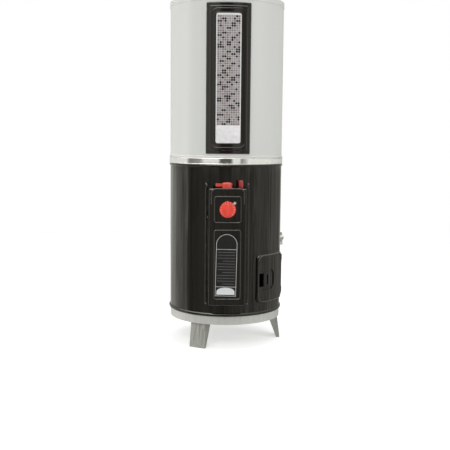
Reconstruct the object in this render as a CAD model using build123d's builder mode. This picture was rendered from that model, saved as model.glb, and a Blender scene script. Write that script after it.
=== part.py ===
"""A floor-standing gas storage water heater, built piece by piece.

The frame: the origin is on the tank's axis at floor level, +Z is up and the control panel faces -Y.
An azimuth is the angle about +Z from the front (-Y) towards the right-hand side (+X), in degrees.
All sizes are in millimetres.
"""

from build123d import *
from math import asin, cos, degrees, radians, sin, sqrt
import os

os.makedirs("parts", exist_ok=True)

# Clearances
fit_gap = 0.3  # between fixed pieces that sit inside one another
move_gap = 0.4  # between pieces that pass each other
running_gap = 0.06  # radial, shaft in its bearing
thread_gap = 0.2  # radial, male thread in its spud

# Stand
leg_height = 103.0  # floor to the underside of the base ring
leg_count = 3
first_leg_azimuth = -30.0
leg_width = 71.0
leg_sheet = 2.5
leg_splay = 14.0  # how far the foot stands out past the leg's top
leg_inset = 10.5  # leg face behind the ring's face, at the ring's lower edge
leg_top_depth = 41.0
leg_foot_depth = 15.0
leg_rib_width = 15.0
leg_rib_height = 1.6
leg_rib_end = 6.0  # rib's ends from the leg's ends
leg_rib_ramp = 3.0
ring_inset = 1.5  # its face behind the casing's
ring_height = 36.0
ring_wall = 2.5
ring_flange = 42.0
ring_lip = 3.5
bolt_radius = 4.0
bolt_spacing = 34.0
bolt_inset = 27.5  # bolts behind the ring's face
bolt_head_flats = 13.0
bolt_head_height = 5.3
bolt_end = 3.0  # shank showing past the nut
nut_height = 6.5
pan_sheet = 2.0
pan_inset = 5.5  # pan's edge behind the ring's face
pan_rim_height = 17.0
air_hole_radius = 58.0

# Casings
blanket_space = 40.0  # tank's wall to the casing's face
casing_wall = 1.2
lower_height = 624.0  # base ring to chrome band
band_height = 24.0
upper_height = 645.0  # chrome band to the casing's top edge
rim_ledge = 6.0
rim_height = 12.0
rim_reach = 5.2  # bottom rim's bead past the casing
rim_lip = 1.5
bead_height = 11.0
bead_reach = 4.0
band_reach = 3.5
band_wall = 1.8
band_web = 2.0
band_web_width = 7.5
seam_width = 9.0
seam_height = 1.0
lid_skirt = 22.0
lid_rise = 10.0
lid_corner = 0.75
lid_step_inset = 26.0  # foot of its raised middle from the casing's face
lid_sheet = 1.2

# Combustion chamber, tank and flue
chamber_height = 254.0  # base pan to the tank's lower edge
skirt_wall = 1.5
tank_radius = 200.0
tank_wall = 3.0
tank_headroom = 52.0  # tank's upper edge below the casing's
head_flange = 15.0
top_head_rise = 48.0
bottom_head_flange = 14.0
bottom_head_rise = 36.0
flue_radius = 51.0
flue_wall = 3.0
flue_above_lid = 14.0
baffle_width = 84.0
baffle_swing = 14.0
baffle_pitch = 90.0
baffle_sheet = 1.5
spud_radius = 18.0
spud_thread = 13.0
spud_reach = 13.0  # side spuds past the tank's wall
spud_below_lid = 4.0
spud_circle = 128.0

# Front control group
cover_width = 167.0
cover_bottom = 49.0  # above the base ring
cover_height = 490.0
cover_depth = 60.0  # casing to the cover's face
cover_taper = 7.0
cover_corner = 15.0
cover_edge = 6.5
cover_wall = 1.5
cover_flange_reach = 3.2
window_width = 103.0
window_height = 101.0
window_depth = 11.0
window_corner = 8.0
window_top_share = 0.375  # of the height that the window and the field leave free, above the window
field_bottom_share = 0.33  # of that height, below the label field
press_edge = 1.2
label_field_depth = 2.0
label_width = 90.0
label_height = 257.0
label_sheet = 1.0
label_side_margin = 6.5  # plate to the edge of its field
label_margin_below = 8.0
label_margin_above = 12.0
dial_radius = 32.5
dial_thickness = 10.0
dial_boss_radius = 18.0
dial_grip_reach = 12.0
dial_range_hub = 24.0
control_shaft = 4.0
valve_left = 46.0
valve_right = 70.0
valve_below = 44.0
valve_above = 69.0
valve_stand = 16.0  # valve's rear face in front of the tank's wall
valve_reach = 41.0  # valve's front past the casing
cock_axis_reach = 23.0  # cock axis in front of the casing
cock_x = -2.0
cock_radius = 20.5
cock_height = 24.0
cock_arm = 46.0
cock_arm_width = 15.0
button_x = 53.0
button_radius = 9.5
button_length = 33.5
button_travel = 6.0
probe_radius = 6.0
probe_tip_gap = 22.0

# Gas train in the chamber
burner_level = 93.0  # mixer tube axis above the base ring
burner_radius = 80.0
burner_height = 36.0
burner_wall = 2.0
burner_ports = 24
mixer_radius = 15.0
mixer_length = 57.0
mixer_flare = 6.0
manifold_radius = 6.35
manifold_bend = 32.0
pilot_tube_radius = 3.0
thermocouple_radius = 1.6
tube_wall = 1.0

# Fire door
door_azimuth = 52.0
door_width = 204.0
door_height = 226.0
door_bottom = 37.0
door_corner = 24.0
door_flange = 12.0
door_rise = 9.0
door_taper = 28.0
door_sheet = 1.2
dish_width = 92.0
dish_height = 84.0
dish_corner = 26.0
dish_depth = 3.8
dish_azimuth = 43.0
dish_above_door = 108.0
peep_width = 22.0
peep_height = 56.0
peep_azimuth = 36.2
shutter_height = 60.0
hinge_pin_radius = 2.0
hinge_barrel_radius = 3.7
hinge_barrel_length = 26.0
hinge_azimuth = 79.5
hinge_stand = 5.6  # hinge axis in front of the casing
hinge_spacing = 140.0

# Decorative strip on the upper casing
strip_width = 178.0
strip_height = 595.0
strip_gap_below = 18.0
strip_reach = 10.0
strip_step = 4.0
strip_step_inset = 13.0
strip_wall = 2.5
insert_width = 100.0
insert_margin = 43.0
insert_sheet = 1.6

# Fittings
drain_azimuth = 115.0
drain_above_edge = 29.0  # its axis above the tank's lower edge
drain_reach = 52.0
drain_pipe_radius = 11.0
nipple_bore = 9.5
nipple_thread = 13.2
nipple_thread_length = 25.0
nipple_neck = 17.0
anode_radius = 10.5
anode_length = 780.0
dip_tube_wall = 1.2
collar_height = 13.5
hood_skirt_radius = 96.0
hood_outlet_radius = 55.0
hood_outlet_length = 60.0
hood_cone_height = 46.0
hood_skirt_height = 14.0
hood_gap = 50.0
hood_sheet = 1.0
hood_leg_count = 4
hood_leg_width = 16.0
hood_leg_sheet = 1.5
hood_foot = 18.0
relief_radius = 14.0
relief_height = 56.0  # above the lid
relief_outlet_height = 26.0
relief_lever_length = 52.0

# Distances from the axis and levels above the floor, worked out from the sizes above
casing_radius = tank_radius + blanket_space
ring_radius = casing_radius - ring_inset
bolt_circle = ring_radius - bolt_inset
pan_radius = ring_radius - pan_inset
lid_step_radius = casing_radius - lid_step_inset
valve_back = tank_radius + valve_stand
valve_front = casing_radius + valve_reach
ring_top = leg_height + ring_height
pan_top = ring_top + pan_sheet
casing_bottom = ring_top + rim_ledge
band_bottom = ring_top + lower_height
band_top = band_bottom + band_height
band_middle = band_bottom + band_height / 2
casing_top = band_top + upper_height
lid_top = casing_top + lid_sheet + lid_rise  # top of the lid's raised middle
tank_bottom = pan_top + chamber_height
shell_top = casing_top - tank_headroom
spud_top = lid_top - lid_sheet - spud_below_lid
flue_top = lid_top + flue_above_lid
cover_low = ring_top + cover_bottom
cover_top = cover_low + cover_height
label_field_width = label_width + 2 * label_side_margin
label_field_height = label_height + label_margin_below + label_margin_above
cover_free_height = cover_height - window_height - label_field_height
dial_z = cover_top - window_top_share * cover_free_height - window_height / 2
field_low = cover_low + field_bottom_share * cover_free_height
cover_front = casing_radius + cover_depth
cover_back = sqrt(casing_radius**2 - (cover_width / 2) ** 2) - 3.0
burner_z = ring_top + burner_level
door_low = ring_top + door_bottom
inner_casing = casing_radius - casing_wall


def radial_plane(azimuth):
    """A plane through the axis: local x runs outward at that azimuth and local y runs up."""
    a = radians(azimuth)
    return Plane(origin=(0, 0, 0), x_dir=(sin(a), -cos(a), 0), z_dir=(-cos(a), -sin(a), 0))


def facing_plane(azimuth, radius, z):
    """A plane that faces outward at an azimuth, at a radius from the axis and a level: local y runs up."""
    a = radians(azimuth)
    place = (radius * sin(a), -radius * cos(a), z)
    return Plane(origin=place, x_dir=(cos(a), sin(a), 0), z_dir=(sin(a), -cos(a), 0))


def on_circle(azimuth, radius):
    """The X and Y of a point at an azimuth and a radius from the axis."""
    a = radians(azimuth)
    return radius * sin(a), -radius * cos(a)


def keep(piece, label):
    """Labels a finished piece and writes its STEP file."""
    piece.part.label = label
    export_step(piece.part, f"parts/{label}.step")


def annulus(inner, outer, low, high):
    """A plain ring about the tank's axis."""
    with BuildPart() as ring:
        with BuildSketch(Plane.XY.offset(low)):
            Circle(outer)
            if inner > 0:
                Circle(inner, mode=Mode.SUBTRACT)
        extrude(amount=high - low)
    return ring.part


def curved_panel(azimuth, width, height, corner, middle, inner, outer, taper=0.0):
    """A rounded rectangle, seen square on at an azimuth, cut from the ring between two radii."""
    start = min(inner, sqrt(max(inner**2 - (width / 2) ** 2, 0.0))) - 4.0
    with BuildPart() as panel:
        with BuildSketch(facing_plane(azimuth, start, middle)):
            RectangleRounded(width, height, corner)
        extrude(amount=outer - start + 6.0, taper=taper)
        add(annulus(inner, outer, middle - height, middle + height), mode=Mode.INTERSECT)
    return panel.part


def front_block(width, height, corner, middle, back, front, taper=0.0):
    """A rounded rectangle that faces the front, from one depth to another."""
    with BuildPart() as block:
        with BuildSketch(Plane.XZ.offset(back)):
            with Locations((0, middle)):
                RectangleRounded(width, height, corner)
        extrude(amount=front - back, taper=taper)
    return block.part


def rod(start, direction, radius, length):
    """A plain rod from a point along a direction."""
    with BuildPart() as bar:
        with BuildSketch(Plane(origin=start, z_dir=direction)):
            Circle(radius)
        extrude(amount=length)
    return bar.part


def bent_tube(points, bends, radius, wall):
    """A tube along straight runs joined by tangent arcs, solid where the wall is as thick as the radius."""
    with BuildPart() as tube:
        with BuildLine() as route:
            FilletPolyline(*points, radius=bends)
        with BuildSketch(Plane(origin=route.line @ 0, z_dir=route.line % 0)):
            Circle(radius)
            if wall < radius:
                Circle(radius - wall, mode=Mode.SUBTRACT)
        sweep(path=route.line)
    return tube.part


# Base ring, an inward-flanged steel hoop
with BuildPart() as base_ring:
    with BuildSketch(Plane.XZ):
        with BuildLine():
            Polyline(
                (ring_radius, leg_height),
                (ring_radius, ring_top),
                (ring_radius - ring_flange, ring_top),
                (ring_radius - ring_flange, ring_top - ring_wall),
                (ring_radius - ring_wall, ring_top - ring_wall),
                (ring_radius - ring_wall, leg_height + ring_wall),
                (ring_radius - ring_wall - ring_lip, leg_height + ring_wall),
                (ring_radius - ring_wall - ring_lip, leg_height),
                close=True,
            )
        make_face()
    revolve(axis=Axis.Z)
    with Locations((0, 0, ring_top)):
        with PolarLocations(0, leg_count, first_leg_azimuth - 90):
            with Locations((bolt_circle, bolt_spacing / 2), (bolt_circle, -bolt_spacing / 2)):
                Hole(bolt_radius + fit_gap, depth=ring_wall)
keep(base_ring, "base_ring")

# Legs, folded channels with a foot plate, a bolting tab and a pressed rib
leg_top = ring_top - ring_wall
leg_lean = leg_splay / leg_height
leg_face_top = ring_radius - leg_inset
leg_face_foot = leg_face_top + leg_splay
leg_names = ["leg_front_left", "leg_right", "leg_rear_left"]
rib_low = leg_rib_end + leg_rib_ramp
rib_high = leg_height - rib_low


def leg_face(z, inward=0.0):
    """Distance of the leg's outer face from the axis at a level."""
    return leg_face_foot - leg_lean * z - inward


for index in range(leg_count):
    azimuth = first_leg_azimuth + index * 360 / leg_count
    with BuildPart() as leg:
        with BuildSketch(radial_plane(azimuth)):
            with BuildLine():
                Polyline(
                    (leg_face(0, leg_foot_depth), 0),
                    (leg_face(0), 0),
                    (leg_face(leg_top), leg_top),
                    (leg_face(leg_height, leg_top_depth), leg_top),
                    (leg_face(leg_height, leg_top_depth), leg_height),
                    close=True,
                )
            make_face()
        extrude(amount=leg_width / 2, both=True)
        with BuildSketch(radial_plane(azimuth)):
            with BuildLine():
                Polyline(
                    (leg_face(leg_height, 2 * leg_top_depth), leg_sheet),
                    (leg_face(leg_sheet, leg_sheet), leg_sheet),
                    (leg_face(leg_top - leg_sheet, leg_sheet), leg_top - leg_sheet),
                    (leg_face(leg_height, 2 * leg_top_depth), leg_top - leg_sheet),
                    close=True,
                )
            make_face()
        extrude(amount=leg_width / 2 - leg_sheet, both=True, mode=Mode.SUBTRACT)
        with BuildSketch(radial_plane(azimuth)):
            with BuildLine():
                Polyline(
                    (leg_face(leg_rib_end), leg_rib_end),
                    (leg_face(rib_low, -leg_rib_height), rib_low),
                    (leg_face(rib_high, -leg_rib_height), rib_high),
                    (leg_face(leg_height - leg_rib_end), leg_height - leg_rib_end),
                    close=True,
                )
            make_face()
        extrude(amount=leg_rib_width / 2, both=True)
        with Locations(radial_plane(azimuth).location):
            with Locations(
                Plane(origin=(bolt_circle, leg_top, bolt_spacing / 2), x_dir=(1, 0, 0), z_dir=(0, 1, 0)),
                Plane(origin=(bolt_circle, leg_top, -bolt_spacing / 2), x_dir=(1, 0, 0), z_dir=(0, 1, 0)),
            ):
                Hole(bolt_radius + fit_gap, depth=leg_sheet)
    keep(leg, leg_names[index])

# Bolts and nuts that hold the legs, the ring and the pan together
bolt_places = []
for index in range(leg_count):
    azimuth = first_leg_azimuth + index * 360 / leg_count
    across = radians(azimuth)
    for side in (-bolt_spacing / 2, bolt_spacing / 2):
        x, y = on_circle(azimuth, bolt_circle)
        bolt_at = (x + side * cos(across), y + side * sin(across), 0)
        bolt_places.append(Location(bolt_at, (0, 0, azimuth)))
with BuildPart() as leg_bolts:
    with BuildSketch(Plane.XY.offset(leg_top - leg_sheet - bolt_head_height)):
        with Locations(*bolt_places):
            RegularPolygon(bolt_head_flats / 2, 6, major_radius=False)
    extrude(amount=bolt_head_height)
    with BuildSketch(Plane.XY.offset(leg_top - leg_sheet)):
        with Locations(*bolt_places):
            Circle(bolt_radius)
    extrude(amount=pan_top + nut_height + bolt_end - leg_top + leg_sheet)
    with BuildSketch(Plane.XY.offset(pan_top)):
        with Locations(*bolt_places):
            RegularPolygon(bolt_head_flats / 2, 6, major_radius=False)
            Circle(bolt_radius + running_gap, mode=Mode.SUBTRACT)
    extrude(amount=nut_height)
keep(leg_bolts, "leg_bolts")

# Base pan, with its air hole under the burner
with BuildPart() as base_pan:
    with BuildSketch(Plane.XY.offset(ring_top)):
        Circle(pan_radius)
        Circle(air_hole_radius, mode=Mode.SUBTRACT)
    extrude(amount=pan_sheet)
    with BuildSketch(Plane.XY.offset(ring_top)):
        Circle(pan_radius)
        Circle(pan_radius - pan_sheet, mode=Mode.SUBTRACT)
    extrude(amount=pan_rim_height)
    with Locations((0, 0, pan_top)):
        with PolarLocations(0, leg_count, first_leg_azimuth - 90):
            with Locations((bolt_circle, bolt_spacing / 2), (bolt_circle, -bolt_spacing / 2)):
                Hole(bolt_radius + fit_gap, depth=pan_sheet)
keep(base_pan, "base_pan")

# Bottom rim, a channel that the lower casing stands in
rim_inner = pan_radius + fit_gap
rim_outer = casing_radius + rim_reach
with BuildPart() as casing_rim:
    with BuildSketch(Plane.XZ):
        with BuildLine():
            foot = (rim_outer - rim_lip, ring_top)
            lip = (casing_radius + fit_gap + rim_lip, ring_top + rim_height)
            Polyline(
                lip,
                (casing_radius + fit_gap, ring_top + rim_height),
                (casing_radius + fit_gap, casing_bottom),
                (inner_casing - fit_gap, casing_bottom),
                (inner_casing - fit_gap, casing_bottom + rim_ledge),
                (rim_inner, casing_bottom + rim_ledge),
                (rim_inner, ring_top),
                foot,
            )
            ThreePointArc(foot, (rim_outer, ring_top + rim_height / 2), lip)
        make_face()
    revolve(axis=Axis.Z)
keep(casing_rim, "casing_rim")


def casing_shell(low, high, bead_low):
    """A sheet cylinder with one rolled bead and a lock seam down its rear."""
    bead_high = bead_low + bead_height
    with BuildPart() as shell:
        with BuildSketch(Plane.XZ):
            with BuildLine():
                Polyline((casing_radius, low), (casing_radius, bead_low))
                ThreePointArc(
                    (casing_radius, bead_low),
                    (casing_radius + bead_reach, bead_low + bead_height / 2),
                    (casing_radius, bead_high),
                )
                Polyline(
                    (casing_radius, bead_high),
                    (casing_radius, high),
                    (inner_casing, high),
                    (inner_casing, bead_high),
                )
                ThreePointArc(
                    (inner_casing, bead_high),
                    (inner_casing + bead_reach, bead_low + bead_height / 2),
                    (inner_casing, bead_low),
                )
                Polyline((inner_casing, bead_low), (inner_casing, low), (casing_radius, low))
            make_face()
        revolve(axis=Axis.Z)
    return shell.part


# Where the four screws of the control cover sit, one on an ear at each corner
ear_width = 17.0
ear_height = 24.0
ear_azimuth = 20.6
ear_sheet = 1.5
ear_rise = 6.0
screw_radius = 2.0
screw_hole = screw_radius + 0.2
screw_places = []
for side in (-1, 1):
    screw_places.append((side * ear_azimuth, cover_top + ear_rise))
    screw_places.append((side * ear_azimuth, cover_low + ear_rise / 2))


def cut_screw_holes():
    """Cuts the four screw holes through the casing's sheet and whatever lies on it."""
    for azimuth, level in screw_places:
        x, y = on_circle(azimuth, inner_casing - 5)
        outward = on_circle(azimuth, 1.0) + (0.0,)
        add(rod((x, y, level), outward, screw_hole, 20.0), mode=Mode.SUBTRACT)


# Lower casing, with its openings behind the control cover and the fire door
valve_opening = 2 * (valve_right + 6.0)
opening_margin = 8.0
door_lap = door_flange + 2.0
door_middle = door_low + door_height / 2
seam_low = ring_top + rim_height + 1.0
lower_bead = band_bottom - bead_height
lower_edge = band_middle - band_web / 2
drain_z = tank_bottom + drain_above_edge
drain_hole = 21.0
with BuildPart() as lower_casing:
    add(casing_shell(casing_bottom, lower_edge, lower_bead))
    add(curved_panel(180, seam_width, lower_bead - seam_low, 1.0, (lower_bead + seam_low) / 2,
                     inner_casing, casing_radius + seam_height))
    add(front_block(valve_opening, cover_height - 2 * opening_margin, 10.0, (cover_low + cover_top) / 2,
                    inner_casing / 2, casing_radius + 1), mode=Mode.SUBTRACT)
    add(curved_panel(door_azimuth, door_width - 2 * door_lap, door_height - 2 * door_lap, door_corner - door_flange,
                     door_middle, inner_casing - 1, casing_radius + 1), mode=Mode.SUBTRACT)
    drain_x, drain_y = on_circle(drain_azimuth, inner_casing - 8)
    outward = on_circle(drain_azimuth, 1.0) + (0.0,)
    add(rod((drain_x, drain_y, drain_z), outward, drain_hole, 16.0), mode=Mode.SUBTRACT)
    cut_screw_holes()
keep(lower_casing, "lower_casing")

# Chrome band, with a web between the two casings
with BuildPart() as chrome_band:
    add(annulus(casing_radius + band_reach - band_wall, casing_radius + band_reach, band_bottom, band_top))
    add(annulus(casing_radius + band_reach - band_wall - band_web_width, casing_radius + band_reach - band_wall / 2,
                band_middle - band_web / 2, band_middle + band_web / 2))
keep(chrome_band, "chrome_band")

# Upper casing
upper_edge = band_middle + band_web / 2
upper_bead_top = band_top + bead_height
with BuildPart() as upper_casing:
    add(casing_shell(upper_edge, casing_top, band_top))
    seam_top = casing_top - lid_skirt - 1.0
    add(curved_panel(180, seam_width, seam_top - upper_bead_top, 1.0, (seam_top + upper_bead_top) / 2,
                     inner_casing, casing_radius + seam_height))
keep(upper_casing, "upper_casing")

# Top cover, a pressed lid with a raised middle and holes for the flue and the four fittings
lid_plate = casing_top + lid_sheet
lid_outer = casing_radius + fit_gap + lid_sheet
fitting_azimuths = {"hot": -90.0, "cold": 90.0, "relief": 180.0, "anode": -30.0}
with BuildPart() as top_cover:
    with BuildSketch(Plane.XZ):
        with BuildLine():
            Polyline(
                (lid_outer, lid_plate - lid_skirt),
                (lid_outer, lid_plate),
                (lid_step_radius, lid_plate),
                (lid_step_radius - lid_rise, lid_plate + lid_rise),
                (flue_radius + fit_gap, lid_plate + lid_rise),
                (flue_radius + fit_gap, casing_top + lid_rise),
                (lid_step_radius - lid_rise, casing_top + lid_rise),
                (lid_step_radius, casing_top),
                (casing_radius + fit_gap, casing_top),
                (casing_radius + fit_gap, lid_plate - lid_skirt),
                close=True,
            )
        make_face()
    revolve(axis=Axis.Z)
    lid_edge = top_cover.edges().filter_by(lambda e: abs(e.center().Z - lid_plate) < 0.01)
    fillet(lid_edge.filter_by(lambda e: e.length > 6.2 * lid_outer), radius=lid_corner)
    with Locations((0, 0, lid_plate + lid_rise)):
        for azimuth in fitting_azimuths.values():
            with Locations(on_circle(azimuth, spud_circle)):
                Hole(nipple_neck + 1.0, depth=2 * lid_sheet)
keep(top_cover, "top_cover")

# Combustion chamber skirt, open at the front for the burner and at the fire door
skirt_inner = tank_radius - skirt_wall
chamber_open_width = 140.0
chamber_open_height = 130.0
chamber_open_low = 20.0
chamber_open_corner = 8.0
chamber_middle = pan_top + chamber_open_low + chamber_open_height / 2
hatch_width = 130.0
hatch_height = 150.0
hatch_corner = 10.0
hatch_azimuth = door_azimuth + 4.0
with BuildPart() as chamber_skirt:
    add(annulus(skirt_inner, tank_radius, pan_top, tank_bottom))
    add(front_block(chamber_open_width, chamber_open_height, chamber_open_corner, chamber_middle, skirt_inner / 2,
                    tank_radius + 1), mode=Mode.SUBTRACT)
    add(curved_panel(hatch_azimuth, hatch_width, hatch_height, hatch_corner, door_middle, skirt_inner - 1,
                     tank_radius + 1), mode=Mode.SUBTRACT)
keep(chamber_skirt, "chamber_skirt")

# Tank shell, with two side spuds for the gas valve and the drain
side_spuds = [(0.0, dial_z), (drain_azimuth, drain_z)]
with BuildPart() as tank_shell:
    add(annulus(tank_radius - tank_wall, tank_radius, tank_bottom, shell_top))
    for azimuth, level in side_spuds:
        x, y = on_circle(azimuth, tank_radius - tank_wall - 8)
        outward = on_circle(azimuth, 1.0) + (0.0,)
        add(rod((x, y, level), outward, spud_radius, tank_wall + 8 + spud_reach))
    add(annulus(0, tank_radius - tank_wall, tank_bottom, shell_top), mode=Mode.SUBTRACT)
    for azimuth, level in side_spuds:
        x, y = on_circle(azimuth, tank_radius - tank_wall - 8)
        outward = on_circle(azimuth, 1.0) + (0.0,)
        add(rod((x, y, level), outward, spud_thread, tank_wall + 9 + spud_reach), mode=Mode.SUBTRACT)
keep(tank_shell, "tank_shell")

# Tank heads: the bottom one dished upward, the top one domed with four spuds
head_radius = tank_radius - tank_wall - fit_gap
flue_hole = flue_radius + fit_gap


def head_profile(rim_low, rim_high, rise):
    """Section of a head: a straight flange inside the shell and a dome up to the flue."""
    low = head_radius - tank_wall
    bend = (low + flue_hole) / 2
    crown = rim_high + rise
    shoulder = rim_high + 0.76 * rise
    with BuildLine() as profile:
        Polyline((low, rim_high), (low, rim_low), (head_radius, rim_low), (head_radius, rim_high))
        ThreePointArc((head_radius, rim_high), (bend, shoulder + tank_wall), (flue_hole, crown + tank_wall))
        Line((flue_hole, crown + tank_wall), (flue_hole, crown))
        ThreePointArc((flue_hole, crown), (bend, shoulder), (low, rim_high))
    return profile.line


with BuildPart() as tank_bottom_head:
    with BuildSketch(Plane.XZ):
        with BuildLine():
            add(head_profile(tank_bottom, tank_bottom + bottom_head_flange, bottom_head_rise))
        make_face()
    revolve(axis=Axis.Z)
keep(tank_bottom_head, "tank_bottom_head")

with BuildPart() as tank_top_head:
    with BuildSketch(Plane.XZ):
        with BuildLine():
            add(head_profile(shell_top - head_flange, shell_top, top_head_rise))
        make_face()
    revolve(axis=Axis.Z)
    with BuildSketch(Plane.XY.offset(shell_top + top_head_rise / 2)):
        for azimuth in fitting_azimuths.values():
            with Locations(on_circle(azimuth, spud_circle)):
                Circle(spud_radius)
    extrude(amount=spud_top - shell_top - top_head_rise / 2)
    with BuildSketch(Plane.XY.offset(shell_top - head_flange)):
        for azimuth in fitting_azimuths.values():
            with Locations(on_circle(azimuth, spud_circle)):
                Circle(spud_thread)
    extrude(amount=spud_top - shell_top + head_flange, mode=Mode.SUBTRACT)
keep(tank_top_head, "tank_top_head")

# Flue tube, its baffle and the collar on the lid
flue_lap = 6.0  # flue below the bottom head's crown
flue_low = tank_bottom + bottom_head_flange + bottom_head_rise - flue_lap
with BuildPart() as flue_tube:
    add(annulus(flue_radius - flue_wall, flue_radius, flue_low, flue_top))
keep(flue_tube, "flue_tube")

baffle_end = 40.0  # least distance from the baffle to the flue's lower end
baffle_folds = int((flue_top - flue_low - baffle_end) / baffle_pitch)
baffle_ear_height = 8.0
with BuildPart() as flue_baffle:
    folds = [((-1) ** fold * baffle_swing, flue_top - fold * baffle_pitch) for fold in range(baffle_folds + 1)]
    folds[0] = (0.0, flue_top + baffle_ear_height)
    front_edge = [(y - baffle_sheet / 2, z) for y, z in folds]
    rear_edge = [(y + baffle_sheet / 2, z) for y, z in reversed(folds)]
    with BuildSketch(Plane.YZ):
        with BuildLine():
            Polyline(*front_edge, *rear_edge, close=True)
        make_face()
    extrude(amount=baffle_width / 2, both=True)
    with BuildSketch(Plane.YZ):
        with Locations((0, flue_top + baffle_ear_height / 2)):
            Rectangle(baffle_sheet, baffle_ear_height)
    extrude(amount=flue_radius, both=True)
keep(flue_baffle, "flue_baffle")

collar_wall = 1.2
collar_foot = 14.0
collar_inner = flue_radius + fit_gap
with BuildPart() as flue_collar:
    add(annulus(collar_inner, collar_inner + collar_wall, lid_top, lid_top + collar_height))
    add(annulus(collar_inner, flue_radius + collar_foot, lid_top, lid_top + collar_wall))
keep(flue_collar, "flue_collar")

# Insulation round the tank, in two blankets that meet at the band
blanket_inner = tank_radius + fit_gap
blanket_outer = inner_casing - fit_gap
blanket_slot = valve_opening + 6.0
with BuildPart() as insulation_lower:
    add(annulus(blanket_inner, blanket_outer, tank_bottom, band_middle - fit_gap))
    add(front_block(blanket_slot, cover_height, 4.0, (cover_low + cover_top) / 2, tank_radius / 2, blanket_outer + 1),
        mode=Mode.SUBTRACT)
    x, y = on_circle(drain_azimuth, tank_radius - 2)
    outward = on_circle(drain_azimuth, 1.0) + (0.0,)
    add(rod((x, y, drain_z), outward, drain_hole, 50.0), mode=Mode.SUBTRACT)
    add(annulus(blanket_outer - band_web_width, blanket_outer + 1, lower_edge - 1, band_middle),
        mode=Mode.SUBTRACT)
keep(insulation_lower, "insulation_lower")

with BuildPart() as insulation_upper:
    add(annulus(blanket_inner, blanket_outer, band_middle + fit_gap, shell_top))
    add(annulus(blanket_outer - band_web_width, blanket_outer + 1, band_middle, upper_edge + 1),
        mode=Mode.SUBTRACT)
keep(insulation_upper, "insulation_upper")

# Water fittings in the top head
nipple_low = spud_top - 20.0
nipple_collar = 15.5
nipple_collar_height = 5.0
nipple_top = lid_top + 46.0
spud_male = spud_thread - thread_gap


def water_nipple(azimuth):
    """A steel nipple: thread into the spud, a collar on it, and a male pipe thread above the lid."""
    with BuildPart() as nipple:
        with BuildSketch(Plane.XZ):
            with BuildLine():
                Polyline(
                    (nipple_bore, nipple_low),
                    (spud_male, nipple_low),
                    (spud_male, spud_top),
                    (nipple_collar, spud_top),
                    (nipple_collar, spud_top + nipple_collar_height),
                    (nipple_thread - 0.6, spud_top + nipple_collar_height + 2.5),
                    (nipple_thread - 0.6, nipple_top - nipple_thread_length),
                    (nipple_thread, nipple_top - nipple_thread_length),
                    (nipple_thread, nipple_top),
                    (nipple_bore, nipple_top),
                    close=True,
                )
            make_face()
        revolve(axis=Axis.Z)
    x, y = on_circle(azimuth, spud_circle)
    return nipple.part.moved(Location((x, y, 0)))


with BuildPart() as hot_nipple:
    add(water_nipple(fitting_azimuths["hot"]))
keep(hot_nipple, "hot_nipple")

with BuildPart() as cold_nipple:
    add(water_nipple(fitting_azimuths["cold"]))
keep(cold_nipple, "cold_nipple")

dip_radius = nipple_bore - fit_gap
dip_low = tank_bottom + bottom_head_flange + bottom_head_rise + 20.0
dip_x, dip_y = on_circle(fitting_azimuths["cold"], spud_circle)
with BuildPart() as dip_tube:
    with BuildSketch(Plane.XY.offset(dip_low)):
        with Locations((dip_x, dip_y)):
            Circle(dip_radius)
            Circle(dip_radius - dip_tube_wall, mode=Mode.SUBTRACT)
    extrude(amount=spud_top - dip_low)
keep(dip_tube, "dip_tube")

anode_x, anode_y = on_circle(fitting_azimuths["anode"], spud_circle)
anode_head = 8.0
with BuildPart() as anode_rod:
    with BuildSketch(Plane.XY.offset(spud_top)):
        with Locations((anode_x, anode_y)):
            RegularPolygon(nipple_collar - 1.0, 6, major_radius=False)
    extrude(amount=anode_head)
    with BuildSketch(Plane.XY.offset(nipple_low)):
        with Locations((anode_x, anode_y)):
            Circle(spud_male)
    extrude(amount=spud_top - nipple_low)
    with BuildSketch(Plane.XY.offset(nipple_low - anode_length)):
        with Locations((anode_x, anode_y)):
            Circle(anode_radius)
    extrude(amount=anode_length)
keep(anode_rod, "anode_rod")

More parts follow.
